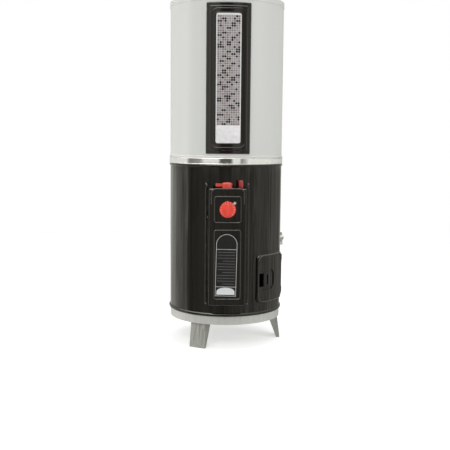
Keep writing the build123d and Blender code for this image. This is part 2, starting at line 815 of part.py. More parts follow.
# Relief valve at the rear, with a test lever that lifts its stem
relief_x, relief_y = on_circle(fitting_azimuths["relief"], spud_circle)
relief_top = lid_top + relief_height
relief_outlet_z = lid_top + relief_outlet_height
relief_hex_low = lid_top + 8.0
relief_hex_height = 10.0
relief_barrel_low = relief_hex_low + relief_hex_height
relief_cap = 4.0
relief_outlet_radius = 9.5
relief_outlet_reach = 34.0
relief_bore = 6.0
stem_radius = 3.0
lever_pin_rise = 9.0
lever_pin_z = relief_top + lever_pin_rise
lever_pin_y = relief_y - relief_radius / 2
lever_gap = 8.0
lever_pin_radius = 1.5
lever_hub = 3.2
lever_ear_radius = 3.5
lever_ear_sheet = 2.0
lever_ear_foot = 2.0  # ear below the barrel's top
with BuildPart() as relief_valve_body:
    with BuildSketch(Plane.XY.offset(nipple_low)):
        with Locations((relief_x, relief_y)):
            Circle(spud_male)
            Circle(relief_bore, mode=Mode.SUBTRACT)
    extrude(amount=relief_hex_low - nipple_low)
    with BuildSketch(Plane.XY.offset(relief_hex_low)):
        with Locations((relief_x, relief_y)):
            RegularPolygon(relief_radius + 1.0, 6, major_radius=False)
            Circle(relief_bore, mode=Mode.SUBTRACT)
    extrude(amount=relief_hex_height)
    with BuildSketch(Plane.XY.offset(relief_barrel_low)):
        with Locations((relief_x, relief_y)):
            Circle(relief_radius)
            Circle(relief_bore, mode=Mode.SUBTRACT)
    extrude(amount=relief_top - relief_cap - relief_barrel_low)
    with BuildSketch(Plane.XY.offset(relief_top - relief_cap)):
        with Locations((relief_x, relief_y)):
            Circle(relief_radius - 2.0)
            Circle(stem_radius + running_gap, mode=Mode.SUBTRACT)
    extrude(amount=relief_cap)
    add(rod((relief_x, relief_y + relief_bore + 2.0, relief_outlet_z), (0, 1, 0), relief_outlet_radius,
            relief_outlet_reach - relief_bore - 2.0))
    add(rod((relief_x, relief_y + 1.0, relief_outlet_z), (0, 1, 0), relief_bore, relief_outlet_reach),
        mode=Mode.SUBTRACT)
    for side in (-1, 1):
        ear_x = relief_x + side * (lever_gap / 2 + 1.5)
        ear_low = (ear_x, lever_pin_y, relief_top - lever_ear_foot)
        with BuildSketch(Plane(origin=ear_low, x_dir=(0, 1, 0), z_dir=(1, 0, 0))):
            with Locations((0, (lever_ear_foot + lever_pin_rise - 1.0) / 2)):
                Rectangle(2 * lever_ear_radius, lever_ear_foot + lever_pin_rise - 1.0)
            with Locations((0, lever_ear_foot + lever_pin_rise)):
                Circle(lever_ear_radius)
                Circle(lever_pin_radius + running_gap, mode=Mode.SUBTRACT)
        extrude(amount=lever_ear_sheet / 2, both=True)
keep(relief_valve_body, "relief_valve_body")

stem_disc_low = relief_outlet_z + relief_bore + 2.0
stem_disc_height = 3.0
with BuildPart() as relief_stem:
    with BuildSketch(Plane.XY.offset(stem_disc_low)):
        with Locations((relief_x, relief_y)):
            Circle(relief_bore - move_gap)
    extrude(amount=stem_disc_height)
    with BuildSketch(Plane.XY.offset(stem_disc_low + stem_disc_height)):
        with Locations((relief_x, relief_y)):
            Circle(stem_radius)
    extrude(amount=lever_pin_z - move_gap - stem_disc_low - stem_disc_height)
keep(relief_stem, "relief_stem")

pin_end = 3.5  # pin past each side of the lever
with BuildPart() as relief_lever_pin:
    add(rod((relief_x - lever_gap / 2 - pin_end, lever_pin_y, lever_pin_z), (1, 0, 0), lever_pin_radius,
            lever_gap + 2 * pin_end))
keep(relief_lever_pin, "relief_lever_pin")

with BuildPart() as relief_lever:
    with BuildSketch(Plane(origin=(relief_x, lever_pin_y, lever_pin_z), x_dir=(0, 1, 0), z_dir=(1, 0, 0))):
        Circle(lever_hub)
        with Locations((relief_lever_length / 2, lever_hub / 2)):
            Rectangle(relief_lever_length, lever_hub)
        Circle(lever_pin_radius + running_gap, mode=Mode.SUBTRACT)
    extrude(amount=lever_gap / 2 - move_gap, both=True)
keep(relief_lever, "relief_lever")

# Draft hood on its legs
hood_low = lid_top + hood_gap
hood_skirt_top = hood_low + hood_skirt_height
hood_cone_top = hood_skirt_top + hood_cone_height
hood_top = hood_cone_top + hood_outlet_length
with BuildPart() as draft_hood:
    with BuildSketch(Plane.XZ):
        with BuildLine():
            Polyline(
                (hood_skirt_radius, hood_low),
                (hood_skirt_radius, hood_skirt_top),
                (hood_outlet_radius, hood_cone_top),
                (hood_outlet_radius, hood_top),
                (hood_outlet_radius - hood_sheet, hood_top),
                (hood_outlet_radius - hood_sheet, hood_cone_top),
                (hood_skirt_radius - hood_sheet, hood_skirt_top),
                (hood_skirt_radius - hood_sheet, hood_low),
                close=True,
            )
        make_face()
    revolve(axis=Axis.Z)
keep(draft_hood, "draft_hood")

hood_leg_face = hood_skirt_radius + fit_gap
first_hood_leg = 45.0
with BuildPart() as draft_hood_legs:
    for index in range(hood_leg_count):
        azimuth = first_hood_leg + index * 360 / hood_leg_count
        with BuildSketch(radial_plane(azimuth)):
            with BuildLine():
                Polyline(
                    (hood_leg_face, hood_skirt_top),
                    (hood_leg_face + hood_leg_sheet, hood_skirt_top),
                    (hood_leg_face + hood_leg_sheet, lid_top + hood_leg_sheet),
                    (hood_leg_face + hood_foot, lid_top + hood_leg_sheet),
                    (hood_leg_face + hood_foot, lid_top),
                    (hood_leg_face, lid_top),
                    close=True,
                )
            make_face()
        extrude(amount=hood_leg_width / 2, both=True)
keep(draft_hood_legs, "draft_hood_legs")

# Gas valve, screwed into the tank's front spud
valve_low = dial_z - valve_below
valve_high = dial_z + valve_above
cock_y = casing_radius + cock_axis_reach
inlet_y = casing_radius + 14.0
inlet_z = dial_z - 26.0
inlet_radius = 10.3
inlet_depth = 22.0
inlet_boss = 16.0
inlet_boss_reach = 8.0
manifold_y = casing_radius + 10.0
pilot_line_x = 24.0
couple_line_x = 44.0
line_y = casing_radius + 4.0
socket_depth = 8.0
cock_boss = 14.0
cock_boss_height = 8.0
button_collar = 12.0
button_collar_height = 5.0
bore_depth = 30.0
bore_floor = valve_high + cock_boss_height - bore_depth
shaft_bore = control_shaft + running_gap
dial_bore_depth = 20.0
shaft_end_gap = 2.0
neck_radius = 15.5
valve_chamfer = 3.0
valve_corner = 8.0
neck_end = 190.0
with BuildPart() as gas_valve_body:
    with BuildSketch(Plane.XZ.offset(valve_back)):
        with Locations(((valve_right - valve_left) / 2, (valve_low + valve_high) / 2)):
            RectangleRounded(valve_left + valve_right, valve_high - valve_low, valve_corner)
    extrude(amount=valve_front - valve_back)
    chamfer(gas_valve_body.faces().sort_by(Axis.Y)[0].edges(), length=valve_chamfer)
    add(rod((0, -valve_back, dial_z), (0, 1, 0), neck_radius, valve_back - tank_radius - spud_reach))
    add(rod((0, -valve_back, dial_z), (0, 1, 0), spud_male, valve_back - neck_end))
    add(rod((cock_x, -cock_y, valve_high), (0, 0, 1), cock_boss, cock_boss_height))
    add(rod((button_x, -cock_y, valve_high), (0, 0, 1), button_collar, button_collar_height))
    add(rod((-valve_left + valve_corner, -inlet_y, inlet_z), (-1, 0, 0), inlet_boss,
            inlet_boss_reach + valve_corner))
    for x in (cock_x, button_x):
        add(rod((x, -cock_y, bore_floor), (0, 0, 1), shaft_bore, bore_depth + 5), mode=Mode.SUBTRACT)
    add(rod((0, -valve_front - 1, dial_z), (0, 1, 0), shaft_bore, dial_bore_depth + 1), mode=Mode.SUBTRACT)
    add(rod((-valve_left - inlet_boss_reach - 1, -inlet_y, inlet_z), (1, 0, 0), inlet_radius, inlet_depth + 1),
        mode=Mode.SUBTRACT)
    for x, y, radius in (
        (0, manifold_y, manifold_radius),
        (pilot_line_x, line_y, pilot_tube_radius),
        (couple_line_x, line_y, thermocouple_radius),
    ):
        add(rod((x, -y, valve_low - 1), (0, 0, 1), radius + thread_gap, socket_depth + 1), mode=Mode.SUBTRACT)
keep(gas_valve_body, "gas_valve_body")

with BuildPart() as immersion_probe:
    add(rod((0, -neck_end, dial_z), (0, 1, 0), probe_radius, neck_end - flue_radius - probe_tip_gap))
    fillet(immersion_probe.faces().sort_by(Axis.Y)[-1].edges(), radius=probe_radius * 0.8)
keep(immersion_probe, "immersion_probe")

# Temperature dial on its shaft, and the fixed pointer on the valve's hub
recess_floor = cover_front - window_depth
dial_back = recess_floor + 2.0
nub_half = 5.0
nub_root = 4.0  # below the dial's rim
nub_reach = 4.0
nub_back = 4.4
rim_flutes = 36
flute_radius = 1.2
flute_circle = dial_radius + 0.4
grip_width = 17.0
grip_length = 50.0
grip_edge = 2.5
boss_back = valve_front + 3.0
with BuildPart() as temperature_dial:
    with BuildSketch(Plane.XZ.offset(dial_back)):
        with Locations((0, dial_z)):
            Circle(dial_radius)
            with PolarLocations(flute_circle, rim_flutes):
                Circle(flute_radius, mode=Mode.SUBTRACT)
    extrude(amount=dial_thickness)
    with BuildSketch(Plane.XZ.offset(dial_back + nub_back)):
        with BuildLine():
            Polyline(
                (-nub_half, dial_z + dial_radius - nub_root),
                (nub_half, dial_z + dial_radius - nub_root),
                (0.0, dial_z + dial_radius + nub_reach),
                close=True,
            )
        make_face()
    extrude(amount=dial_thickness - nub_back)
    with BuildSketch(Plane.XZ.offset(dial_back + dial_thickness)):
        with Locations((0, dial_z)):
            RectangleRounded(grip_width, grip_length, grip_width / 2 - 0.5)
    extrude(amount=dial_grip_reach, taper=6)
    fillet(temperature_dial.faces().sort_by(Axis.Y)[0].edges(), radius=grip_edge)
    with BuildSketch(Plane.XZ.offset(boss_back)):
        with Locations((0, dial_z)):
            Circle(dial_boss_radius)
    extrude(amount=dial_back - boss_back)
    with BuildSketch(Plane.XZ.offset(valve_front - dial_bore_depth + shaft_end_gap)):
        with Locations((0, dial_z)):
            Circle(control_shaft)
    extrude(amount=boss_back - valve_front + dial_bore_depth - shaft_end_gap)
keep(temperature_dial, "temperature_dial")

pointer_azimuth = 48.0
pointer_width = 9.0
pointer_sheet = 1.2
pointer_reach = 42.0
pointer_tip = 8.4
pointer_tip_front = nub_back - 0.8
pointer_back = recess_floor + fit_gap
with BuildPart() as dial_pointer:
    with BuildSketch(Plane.XZ.offset(valve_front)):
        with Locations((0, dial_z)):
            Circle(dial_range_hub)
            Circle(dial_boss_radius + move_gap, mode=Mode.SUBTRACT)
    extrude(amount=dial_back - move_gap - valve_front)
    pointer_along = (sin(radians(pointer_azimuth)), 0, cos(radians(pointer_azimuth)))
    pointer_plane = Plane(origin=(0, -pointer_back, dial_z), x_dir=pointer_along, z_dir=(0, -1, 0))
    with BuildSketch(pointer_plane):
        with Locations(((dial_range_hub + pointer_reach) / 2 - 1, 0)):
            Rectangle(pointer_reach - dial_range_hub + 2, pointer_width)
    extrude(amount=pointer_sheet)
    with BuildSketch(pointer_plane):
        with Locations((pointer_reach - pointer_tip / 2, 0)):
            Rectangle(pointer_tip, pointer_width)
    extrude(amount=dial_back - pointer_back + pointer_tip_front)
keep(dial_pointer, "dial_pointer")

# Gas cock: a disc with a lever arm on a vertical shaft
cock_low = valve_high + cock_boss_height + 3.0
cock_hub_radius = 10.0
arm_drop = 10.0  # arm's underside above the disc's underside
with BuildPart() as gas_cock_knob:
    with BuildSketch(Plane.XY.offset(cock_low)):
        with Locations((cock_x, -cock_y)):
            Circle(cock_radius)
    extrude(amount=cock_height)
    with BuildSketch(Plane.XY.offset(cock_low + arm_drop)):
        with Locations((cock_x - cock_arm / 2, -cock_y)):
            RectangleRounded(cock_arm, cock_arm_width, 5.0)
    extrude(amount=cock_height - arm_drop - 1.5)
    fillet(gas_cock_knob.faces().sort_by(Axis.Z)[-1].edges(), radius=1.2)
    with BuildSketch(Plane.XY.offset(valve_high + cock_boss_height + move_gap)):
        with Locations((cock_x, -cock_y)):
            Circle(cock_hub_radius)
    extrude(amount=cock_low - valve_high - cock_boss_height - move_gap)
    with BuildSketch(Plane.XY.offset(bore_floor + shaft_end_gap)):
        with Locations((cock_x, -cock_y)):
            Circle(control_shaft)
    extrude(amount=cock_low - bore_floor - shaft_end_gap)
keep(gas_cock_knob, "gas_cock_knob")

button_low = valve_high + button_collar_height + button_travel + 1.0
button_shaft_low = bore_floor + button_travel + 1.0
with BuildPart() as pilot_button:
    with BuildSketch(Plane.XY.offset(button_low)):
        with Locations((button_x, -cock_y)):
            Circle(button_radius)
    extrude(amount=button_length)
    fillet(pilot_button.faces().sort_by(Axis.Z)[-1].edges(), radius=1.6)
    with BuildSketch(Plane.XY.offset(button_shaft_low)):
        with Locations((button_x, -cock_y)):
            Circle(control_shaft)
    extrude(amount=button_low - button_shaft_low)
keep(pilot_button, "pilot_button")

# Burner on its bracket over the air hole
burner_low = burner_z - mixer_radius - 3.0
burner_top = burner_low + burner_height
burner_bevel = 10.0
port_width = 3.0
with BuildPart() as burner_head:
    with BuildSketch(Plane.XZ):
        with BuildLine():
            Polyline(
                (0, burner_low),
                (burner_radius, burner_low),
                (burner_radius, burner_top - burner_bevel),
                (burner_radius - burner_bevel, burner_top),
                (0, burner_top),
                close=True,
            )
        make_face()
    revolve(axis=Axis.Z)
    with BuildSketch(Plane.XZ):
        with BuildLine():
            Polyline(
                (0, burner_low + burner_wall),
                (burner_radius - burner_wall, burner_low + burner_wall),
                (burner_radius - burner_wall, burner_top - burner_bevel - burner_wall / 2),
                (burner_radius - burner_bevel - burner_wall / 2, burner_top - burner_wall),
                (0, burner_top - burner_wall),
                close=True,
            )
        make_face()
    revolve(axis=Axis.Z, mode=Mode.SUBTRACT)
    with BuildSketch(Plane.XY.offset(burner_top - burner_bevel)):
        with PolarLocations(burner_radius - burner_bevel, burner_ports):
            Rectangle(2 * burner_bevel, port_width)
    extrude(amount=burner_bevel - burner_wall, mode=Mode.SUBTRACT)
    add(rod((0, -burner_radius - 1, burner_z), (0, 1, 0), mixer_radius + thread_gap, 3 * burner_wall),
        mode=Mode.SUBTRACT)
keep(burner_head, "burner_head")

mixer_start = burner_radius - 2 * burner_wall
mixer_mouth = mixer_start + mixer_length
flare_start = mixer_mouth - 12.0
with BuildPart() as mixer_tube:
    with BuildSketch(Plane.YZ):
        with BuildLine():
            Polyline(
                (-mixer_start, burner_z + mixer_radius),
                (-flare_start, burner_z + mixer_radius),
                (-mixer_mouth, burner_z + mixer_radius + mixer_flare),
                (-mixer_mouth, burner_z + mixer_radius + mixer_flare - burner_wall),
                (-flare_start, burner_z + mixer_radius - burner_wall),
                (-mixer_start, burner_z + mixer_radius - burner_wall),
                close=True,
            )
        make_face()
    revolve(axis=Axis(origin=(0, 0, burner_z), direction=(0, 1, 0)))
keep(mixer_tube, "mixer_tube")

bracket_half = air_hole_radius + 6.0
bracket_depth = 40.0
bracket_foot = 16.0
with BuildPart() as burner_bracket:
    with BuildSketch(Plane.XZ):
        with BuildLine():
            Polyline(
                (bracket_half + bracket_foot, pan_top),
                (bracket_half + bracket_foot, pan_top + pan_sheet),
                (bracket_half, pan_top + pan_sheet),
                (bracket_half, burner_low),
                (-bracket_half, burner_low),
                (-bracket_half, pan_top + pan_sheet),
                (-bracket_half - bracket_foot, pan_top + pan_sheet),
                (-bracket_half - bracket_foot, pan_top),
                (-bracket_half + pan_sheet, pan_top),
                (-bracket_half + pan_sheet, burner_low - pan_sheet),
                (bracket_half - pan_sheet, burner_low - pan_sheet),
                (bracket_half - pan_sheet, pan_top),
                close=True,
            )
        make_face()
    extrude(amount=bracket_depth / 2, both=True)
keep(burner_bracket, "burner_bracket")

shield_level = 32.0  # above the pan
shield_width = 2 * (bracket_half - pan_sheet)
shield_depth = 96.0
shield_corner = 8.0
with BuildPart() as heat_shield:
    with BuildSketch(Plane.XY.offset(pan_top + shield_level)):
        RectangleRounded(shield_width, shield_depth, shield_corner)
    extrude(amount=skirt_wall)
keep(heat_shield, "heat_shield")

# Manifold from the valve down to the burner, with its orifice
orifice_hex = 9.0
orifice_length = 16.0
orifice_front = mixer_mouth + 8.0
orifice_back = orifice_front + orifice_length
orifice_tip_radius = 4.0
orifice_tip = 6.0
orifice_bore = 1.0
orifice_socket = 5.2
manifold_end = orifice_back - 4.0
with BuildPart() as manifold_tube:
    add(bent_tube(
        [
            (0, -manifold_y, valve_low + socket_depth),
            (0, -manifold_y, burner_z),
            (0, -manifold_end, burner_z),
        ],
        [manifold_bend], manifold_radius, tube_wall))
keep(manifold_tube, "manifold_tube")

with BuildPart() as burner_orifice:
    with BuildSketch(Plane.XZ.offset(orifice_front)):
        with Locations((0, burner_z)):
            RegularPolygon(orifice_hex, 6, major_radius=False)
    extrude(amount=orifice_length)
    add(rod((0, -orifice_front, burner_z), (0, 1, 0), orifice_tip_radius, orifice_tip))
    add(rod((0, -orifice_back - 1, burner_z), (0, 1, 0), manifold_radius + running_gap, orifice_socket),
        mode=Mode.SUBTRACT)
    add(rod((0, -orifice_back, burner_z), (0, 1, 0), orifice_bore, orifice_length + orifice_tip + 2),
        mode=Mode.SUBTRACT)
keep(burner_orifice, "burner_orifice")

# Pilot burner, its tube and the thermocouple
pilot_azimuth = 33.0
couple_azimuth = 44.0
plate_azimuth = (pilot_azimuth + couple_azimuth) / 2
pilot_circle = burner_radius + 17.0
pilot_plate_width = 44.0
pilot_plate_edge = pilot_circle + 10.0
pilot_radius = 5.0
pilot_wall = 2.0
pilot_mouth = 6.0
pilot_slot = 3.0
pilot_low = burner_low + 2.0
pilot_plate = burner_low + 12.0
pilot_top = burner_top + 6.0
couple_tip_radius = 3.0
couple_tip_low = burner_top - 14.0
pilot_x, pilot_y = on_circle(pilot_azimuth, pilot_circle)
couple_x, couple_y = on_circle(couple_azimuth, pilot_circle)
pilot_line_low = burner_low - 6.0
couple_line_low = burner_low - 12.0
with BuildPart() as pilot_burner:
    with BuildSketch(Plane.XY.offset(pilot_plate)):
        Circle(pilot_plate_edge)
        Circle(burner_radius + fit_gap, mode=Mode.SUBTRACT)
        with Locations(Location((0, 0, 0), (0, 0, plate_azimuth))):
            with Locations((0, -pilot_plate_edge)):
                Rectangle(pilot_plate_width, pilot_plate_edge, mode=Mode.INTERSECT)
        with Locations((couple_x, couple_y)):
            Circle(thermocouple_radius + 0.6, mode=Mode.SUBTRACT)
    extrude(amount=skirt_wall)
    add(rod((pilot_x, pilot_y, pilot_low), (0, 0, 1), pilot_radius, pilot_top - pilot_low))
    with Locations((pilot_x, pilot_y, pilot_top)):
        Hole(pilot_radius - pilot_wall, depth=pilot_mouth)
    add(rod((pilot_x, pilot_y, pilot_low - 1), (0, 0, 1), pilot_tube_radius + thread_gap, 7.0), mode=Mode.SUBTRACT)
    with BuildSketch(Plane.XY.offset(pilot_top - pilot_mouth)):
        with Locations(Location((pilot_x, pilot_y, 0), (0, 0, pilot_azimuth))):
            Rectangle(pilot_slot, 4 * pilot_radius)
    extrude(amount=pilot_slot, mode=Mode.SUBTRACT)
keep(pilot_burner, "pilot_burner")

with BuildPart() as pilot_tube:
    add(bent_tube(
        [
            (pilot_line_x, -line_y, valve_low + socket_depth),
            (pilot_line_x, -line_y, pilot_line_low),
            (pilot_x, pilot_y, pilot_line_low),
            (pilot_x, pilot_y, pilot_low + 6.0),
        ],
        [16.0, 9.0], pilot_tube_radius, tube_wall))
keep(pilot_tube, "pilot_tube")

with BuildPart() as thermocouple:
    add(bent_tube(
        [
            (couple_line_x, -line_y, valve_low + socket_depth),
            (couple_line_x, -line_y, couple_line_low),
            (couple_x, couple_y, couple_line_low),
            (couple_x, couple_y, couple_tip_low + 4.0),
        ],
        [16.0, 12.0], thermocouple_radius, thermocouple_radius))
    add(rod((couple_x, couple_y, couple_tip_low), (0, 0, 1), couple_tip_radius, pilot_top - couple_tip_low))
    tip_edge = thermocouple.edges().filter_by(lambda e: abs(e.center().Z - pilot_top) < 0.01)
    fillet(tip_edge, radius=couple_tip_radius / 2)
keep(thermocouple, "thermocouple")

# Front plate over the chamber's opening, slotted for the tubes
front_plate_lap = 10.0
front_plate_corner = 8.0
slot_half = manifold_radius + 3.0
slot_top = burner_z + slot_half
plate_low = chamber_middle - chamber_open_height
tube_slot_left = 22.0
tube_slot_right = 62.0
tube_slot_top = pilot_line_low + 7.0
with BuildPart() as chamber_front_plate:
    add(curved_panel(0, chamber_open_width + 2 * front_plate_lap, chamber_open_height + front_plate_lap,
                     front_plate_corner, chamber_middle, tank_radius + fit_gap, tank_radius + fit_gap + skirt_wall))
    add(front_block(2 * slot_half, slot_top - plate_low, slot_half / 4, (slot_top + plate_low) / 2,
                    tank_radius / 2, tank_radius + 5), mode=Mode.SUBTRACT)
    with BuildSketch(Plane.XZ.offset(tank_radius / 2)):
        with Locations(((tube_slot_left + tube_slot_right) / 2, (tube_slot_top + plate_low) / 2)):
            Rectangle(tube_slot_right - tube_slot_left, tube_slot_top - plate_low)
    extrude(amount=tank_radius, mode=Mode.SUBTRACT)
keep(chamber_front_plate, "chamber_front_plate")

# Control cover, a deep pressed cover with a window for the dial and a field for the instruction plate
cover_middle = (cover_low + cover_top) / 2
field_middle = field_low + label_field_height / 2
field_floor = cover_front - label_field_depth
flange_seat = casing_radius + fit_gap
notch_low = dial_z + window_height / 2 + 2.0
notch_high = cover_top + 20.0
notch_front = 287.0
notch_half = 28.0
notch_arm = 28.0  # further room on the left for the cock's arm
notch_back = casing_radius / 2
button_gap = 1.5
with BuildPart() as cover_hollow:
    add(front_block(cover_width - 2 * cover_wall, cover_height - 2 * cover_wall, cover_corner - cover_wall,
                    cover_middle, cover_back, cover_front - cover_wall, cover_taper))
    fillet(cover_hollow.faces().sort_by(Axis.Y)[0].edges(), radius=cover_edge - cover_wall)
with BuildPart() as cover_flange:
    add(curved_panel(0, cover_width + 2 * cover_flange_reach, cover_height + 2 * cover_flange_reach,
                     cover_corner + cover_flange_reach, cover_middle, flange_seat, flange_seat + ear_sheet))
    add(cover_hollow.part, mode=Mode.SUBTRACT)
with BuildPart() as control_cover:
    add(front_block(cover_width, cover_height, cover_corner, cover_middle, cover_back, cover_front, cover_taper))
    fillet(control_cover.faces().sort_by(Axis.Y)[0].edges(), radius=cover_edge)
    add(cover_hollow.part, mode=Mode.SUBTRACT)
    add(cover_flange.part)
    add(front_block(window_width + 2 * cover_wall, window_height + 2 * cover_wall, window_corner + cover_wall, dial_z,
                    recess_floor - cover_wall, cover_front - cover_wall / 2))
    add(front_block(window_width, window_height, window_corner, dial_z, recess_floor, cover_front + 1),
        mode=Mode.SUBTRACT)
    add(rod((0, -recess_floor - 1, dial_z), (0, 1, 0), dial_range_hub + 2, cover_wall + 2), mode=Mode.SUBTRACT)
    add(front_block(label_field_width + 2 * cover_wall, label_field_height + 2 * cover_wall,
                    window_corner + cover_wall, field_middle, field_floor - cover_wall,
                    cover_front - cover_wall / 2))
    add(front_block(label_field_width, label_field_height, window_corner, field_middle, field_floor,
                    cover_front + 1), mode=Mode.SUBTRACT)
    face_edges = control_cover.edges().filter_by(lambda e: abs(e.center().Y + cover_front) < 0.01)
    fillet(face_edges.filter_by(lambda e: abs(e.center().X) < window_width / 2 + 1
                                and field_low - 1 < e.center().Z < dial_z + window_height / 2 + 1),
           radius=press_edge)
    for azimuth, level in screw_places:
        toward = 1 if level < cover_middle else -1
        ear_middle = level + toward * (ear_height - ear_width) / 2
        add(curved_panel(azimuth, ear_width, ear_height, ear_width / 2 - 0.5, ear_middle, flange_seat,
                         flange_seat + ear_sheet))
    with BuildSketch(Plane.XY.offset(notch_low)):
        with Locations((cock_x - notch_arm / 2, -(notch_front + notch_back) / 2)):
            Rectangle(2 * notch_half + notch_arm, notch_front - notch_back)
        with Locations((button_x, -(cock_y + notch_back) / 2)):
            Rectangle(2 * (button_radius + button_gap), cock_y - notch_back)
        with Locations((button_x, -cock_y)):
            Circle(button_radius + button_gap)
    extrude(amount=notch_high - notch_low, mode=Mode.SUBTRACT)
    add(rod((-cover_width / 2 - 5, -inlet_y, inlet_z), (1, 0, 0), inlet_boss + 1.5, 30.0), mode=Mode.SUBTRACT)
    add(annulus(0, flange_seat, cover_low - 40, cover_top + 40), mode=Mode.SUBTRACT)
    cut_screw_holes()
keep(control_cover, "control_cover")

screw_head = 3.6
screw_head_height = 2.4
screw_slot = 1.0
screw_seat = flange_seat + ear_sheet
with BuildPart() as cover_screws:
    for azimuth, level in screw_places:
        outward = on_circle(azimuth, 1.0) + (0.0,)
        with BuildSketch(facing_plane(azimuth, screw_seat, level)):
            Circle(screw_head)
        extrude(amount=screw_head_height)
        with BuildSketch(facing_plane(azimuth, screw_seat + screw_head_height, level)):
            Rectangle(2 * screw_head, screw_slot)
        extrude(amount=-screw_slot, mode=Mode.SUBTRACT)
        x, y = on_circle(azimuth, inner_casing)
        add(rod((x, y, level), outward, screw_radius, screw_seat - inner_casing + 0.5))
keep(cover_screws, "cover_screws")

# Instruction plate, arched at its top and a little crooked
label_low = field_low + label_margin_below
label_shift = -4.0
label_tilt = 1.1
with BuildPart() as instruction_plate:
    with BuildSketch(Plane.XZ.offset(field_floor)):
        with Locations(Location((label_shift, label_low + label_height / 2, 0), (0, 0, -label_tilt))):
            with Locations((0, -label_width / 4)):
                Rectangle(label_width, label_height - label_width / 2)
            with Locations((0, label_height / 2 - label_width / 2)):
                Circle(label_width / 2)
    extrude(amount=label_sheet)
keep(instruction_plate, "instruction_plate")


def dome_edges(panel, radius):
    """The edges round the outermost face of a curved panel, which lies at a radius from the axis."""
    outer = panel.faces().filter_by(lambda f: abs(Vector(f.center().X, f.center().Y, 0).length - radius) < 0.5)
    return outer.edges()


# Fire door, a pressed cushion with a flange, a dish round its peep slot, rails for the shutter and two knuckles
door_inner = casing_radius + fit_gap
door_face = door_inner + door_sheet + door_rise
dish_floor = door_face - dish_depth
raised_width = door_width - 2 * door_flange
raised_height = door_height - 2 * door_flange
raised_corner = door_corner - door_flange + 6.0
door_edge = door_rise - 1.5
dish_z = door_low + dish_above_door
shutter_width = peep_width + 4.0
shutter_step = 2 * degrees(asin((shutter_width + peep_width) / 4 / dish_floor)) + 0.4
shutter_sheet = 1.2
shutter_low = dish_floor + fit_gap
rail_width = 62.0
rail_height = 3.4
rail_lap = 2.6
rail_sheet = 1.2
rail_azimuth = peep_azimuth + shutter_step / 2 + 1.0
hinge_radius = casing_radius + hinge_stand
hinge_x, hinge_y = on_circle(hinge_azimuth, hinge_radius)
hinge_levels = (door_middle - hinge_spacing / 2, door_middle + hinge_spacing / 2)
knuckle_gap = 0.4
knuckle = (hinge_barrel_length - knuckle_gap) / 2
pin_bore = hinge_pin_radius + running_gap
leaf_gap = 0.8
leaf_sheet = 1.5
leaf_reach = 17.0
leaf_weld = 2.0  # bracket's foot inside the casing's face before it is cut to the casing
shutter_corner = 1.5
shutter_front = shutter_low + shutter_sheet + fit_gap
rail_corner = 0.6
rail_root = 0.2
door_high = door_low + door_height
with BuildPart() as door_raised:
    add(curved_panel(door_azimuth, raised_width, raised_height, raised_corner, door_middle, door_inner, door_face))
    fillet(dome_edges(door_raised, door_face), radius=door_edge)
with BuildPart() as door_hollow:
    add(curved_panel(door_azimuth, raised_width - 2 * door_sheet, raised_height - 2 * door_sheet,
                     raised_corner - door_sheet, door_middle, door_inner - 2, door_face - door_sheet))
    fillet(dome_edges(door_hollow, door_face - door_sheet), radius=door_edge - door_sheet)
with BuildPart() as door_backing:
    add(door_raised.part)
    add(curved_panel(dish_azimuth, dish_width + 2 * door_sheet, dish_height + 2 * door_sheet,
                     dish_corner + door_sheet, dish_z, dish_floor - door_sheet, door_face + 1),
        mode=Mode.INTERSECT)
with BuildPart() as fire_door:
    add(curved_panel(door_azimuth, door_width, door_height, door_corner, door_middle, door_inner,
                     door_inner + door_sheet))
    add(door_raised.part)
    add(door_hollow.part, mode=Mode.SUBTRACT)
    add(door_backing.part)
    add(curved_panel(dish_azimuth, dish_width, dish_height, dish_corner, dish_z, dish_floor, door_face + 5),
        mode=Mode.SUBTRACT)
    for side in (-1, 1):
        rail_z = dish_z + side * (shutter_height / 2 + fit_gap + rail_height / 2)
        lip_z = dish_z + side * (shutter_height / 2 + fit_gap + (rail_height - rail_lap) / 2)
        add(curved_panel(rail_azimuth, rail_width, rail_height, rail_corner, rail_z, dish_floor - rail_root,
                         shutter_front + rail_sheet))
        add(curved_panel(rail_azimuth, rail_width, rail_height + rail_lap, rail_corner, lip_z, shutter_front,
                         shutter_front + rail_sheet))
    add(curved_panel(peep_azimuth, peep_width, peep_height, shutter_corner, dish_z, door_inner - 3, door_face + 5),
        mode=Mode.SUBTRACT)
    for level in hinge_levels:
        add(rod((hinge_x, hinge_y, level + knuckle_gap / 2), (0, 0, 1), hinge_barrel_radius, knuckle))
        with BuildSketch(facing_plane(hinge_azimuth, casing_radius + leaf_gap, level + knuckle_gap / 2)):
            with Locations((-leaf_reach / 2, knuckle / 2)):
                Rectangle(leaf_reach, knuckle)
        extrude(amount=leaf_sheet)
        add(rod((hinge_x, hinge_y, level), (0, 0, 1), pin_bore, hinge_barrel_length), mode=Mode.SUBTRACT)
    add(annulus(0, door_inner, door_low - 20, door_high + 20), mode=Mode.SUBTRACT)
keep(fire_door, "fire_door")

with BuildPart() as door_hinge_brackets:
    for level in hinge_levels:
        with BuildSketch(facing_plane(hinge_azimuth, casing_radius - leaf_weld, level - knuckle_gap / 2)):
            with Locations((leaf_reach / 2, -knuckle / 2)):
                Rectangle(leaf_reach, knuckle)
        extrude(amount=leaf_weld + leaf_sheet + leaf_gap)
        add(rod((hinge_x, hinge_y, level - knuckle_gap / 2), (0, 0, -1), hinge_barrel_radius, knuckle))
        add(rod((hinge_x, hinge_y, level), (0, 0, -1), pin_bore, hinge_barrel_length), mode=Mode.SUBTRACT)
    add(annulus(0, casing_radius, door_low - 20, door_high + 20), mode=Mode.SUBTRACT)
keep(door_hinge_brackets, "door_hinge_brackets")

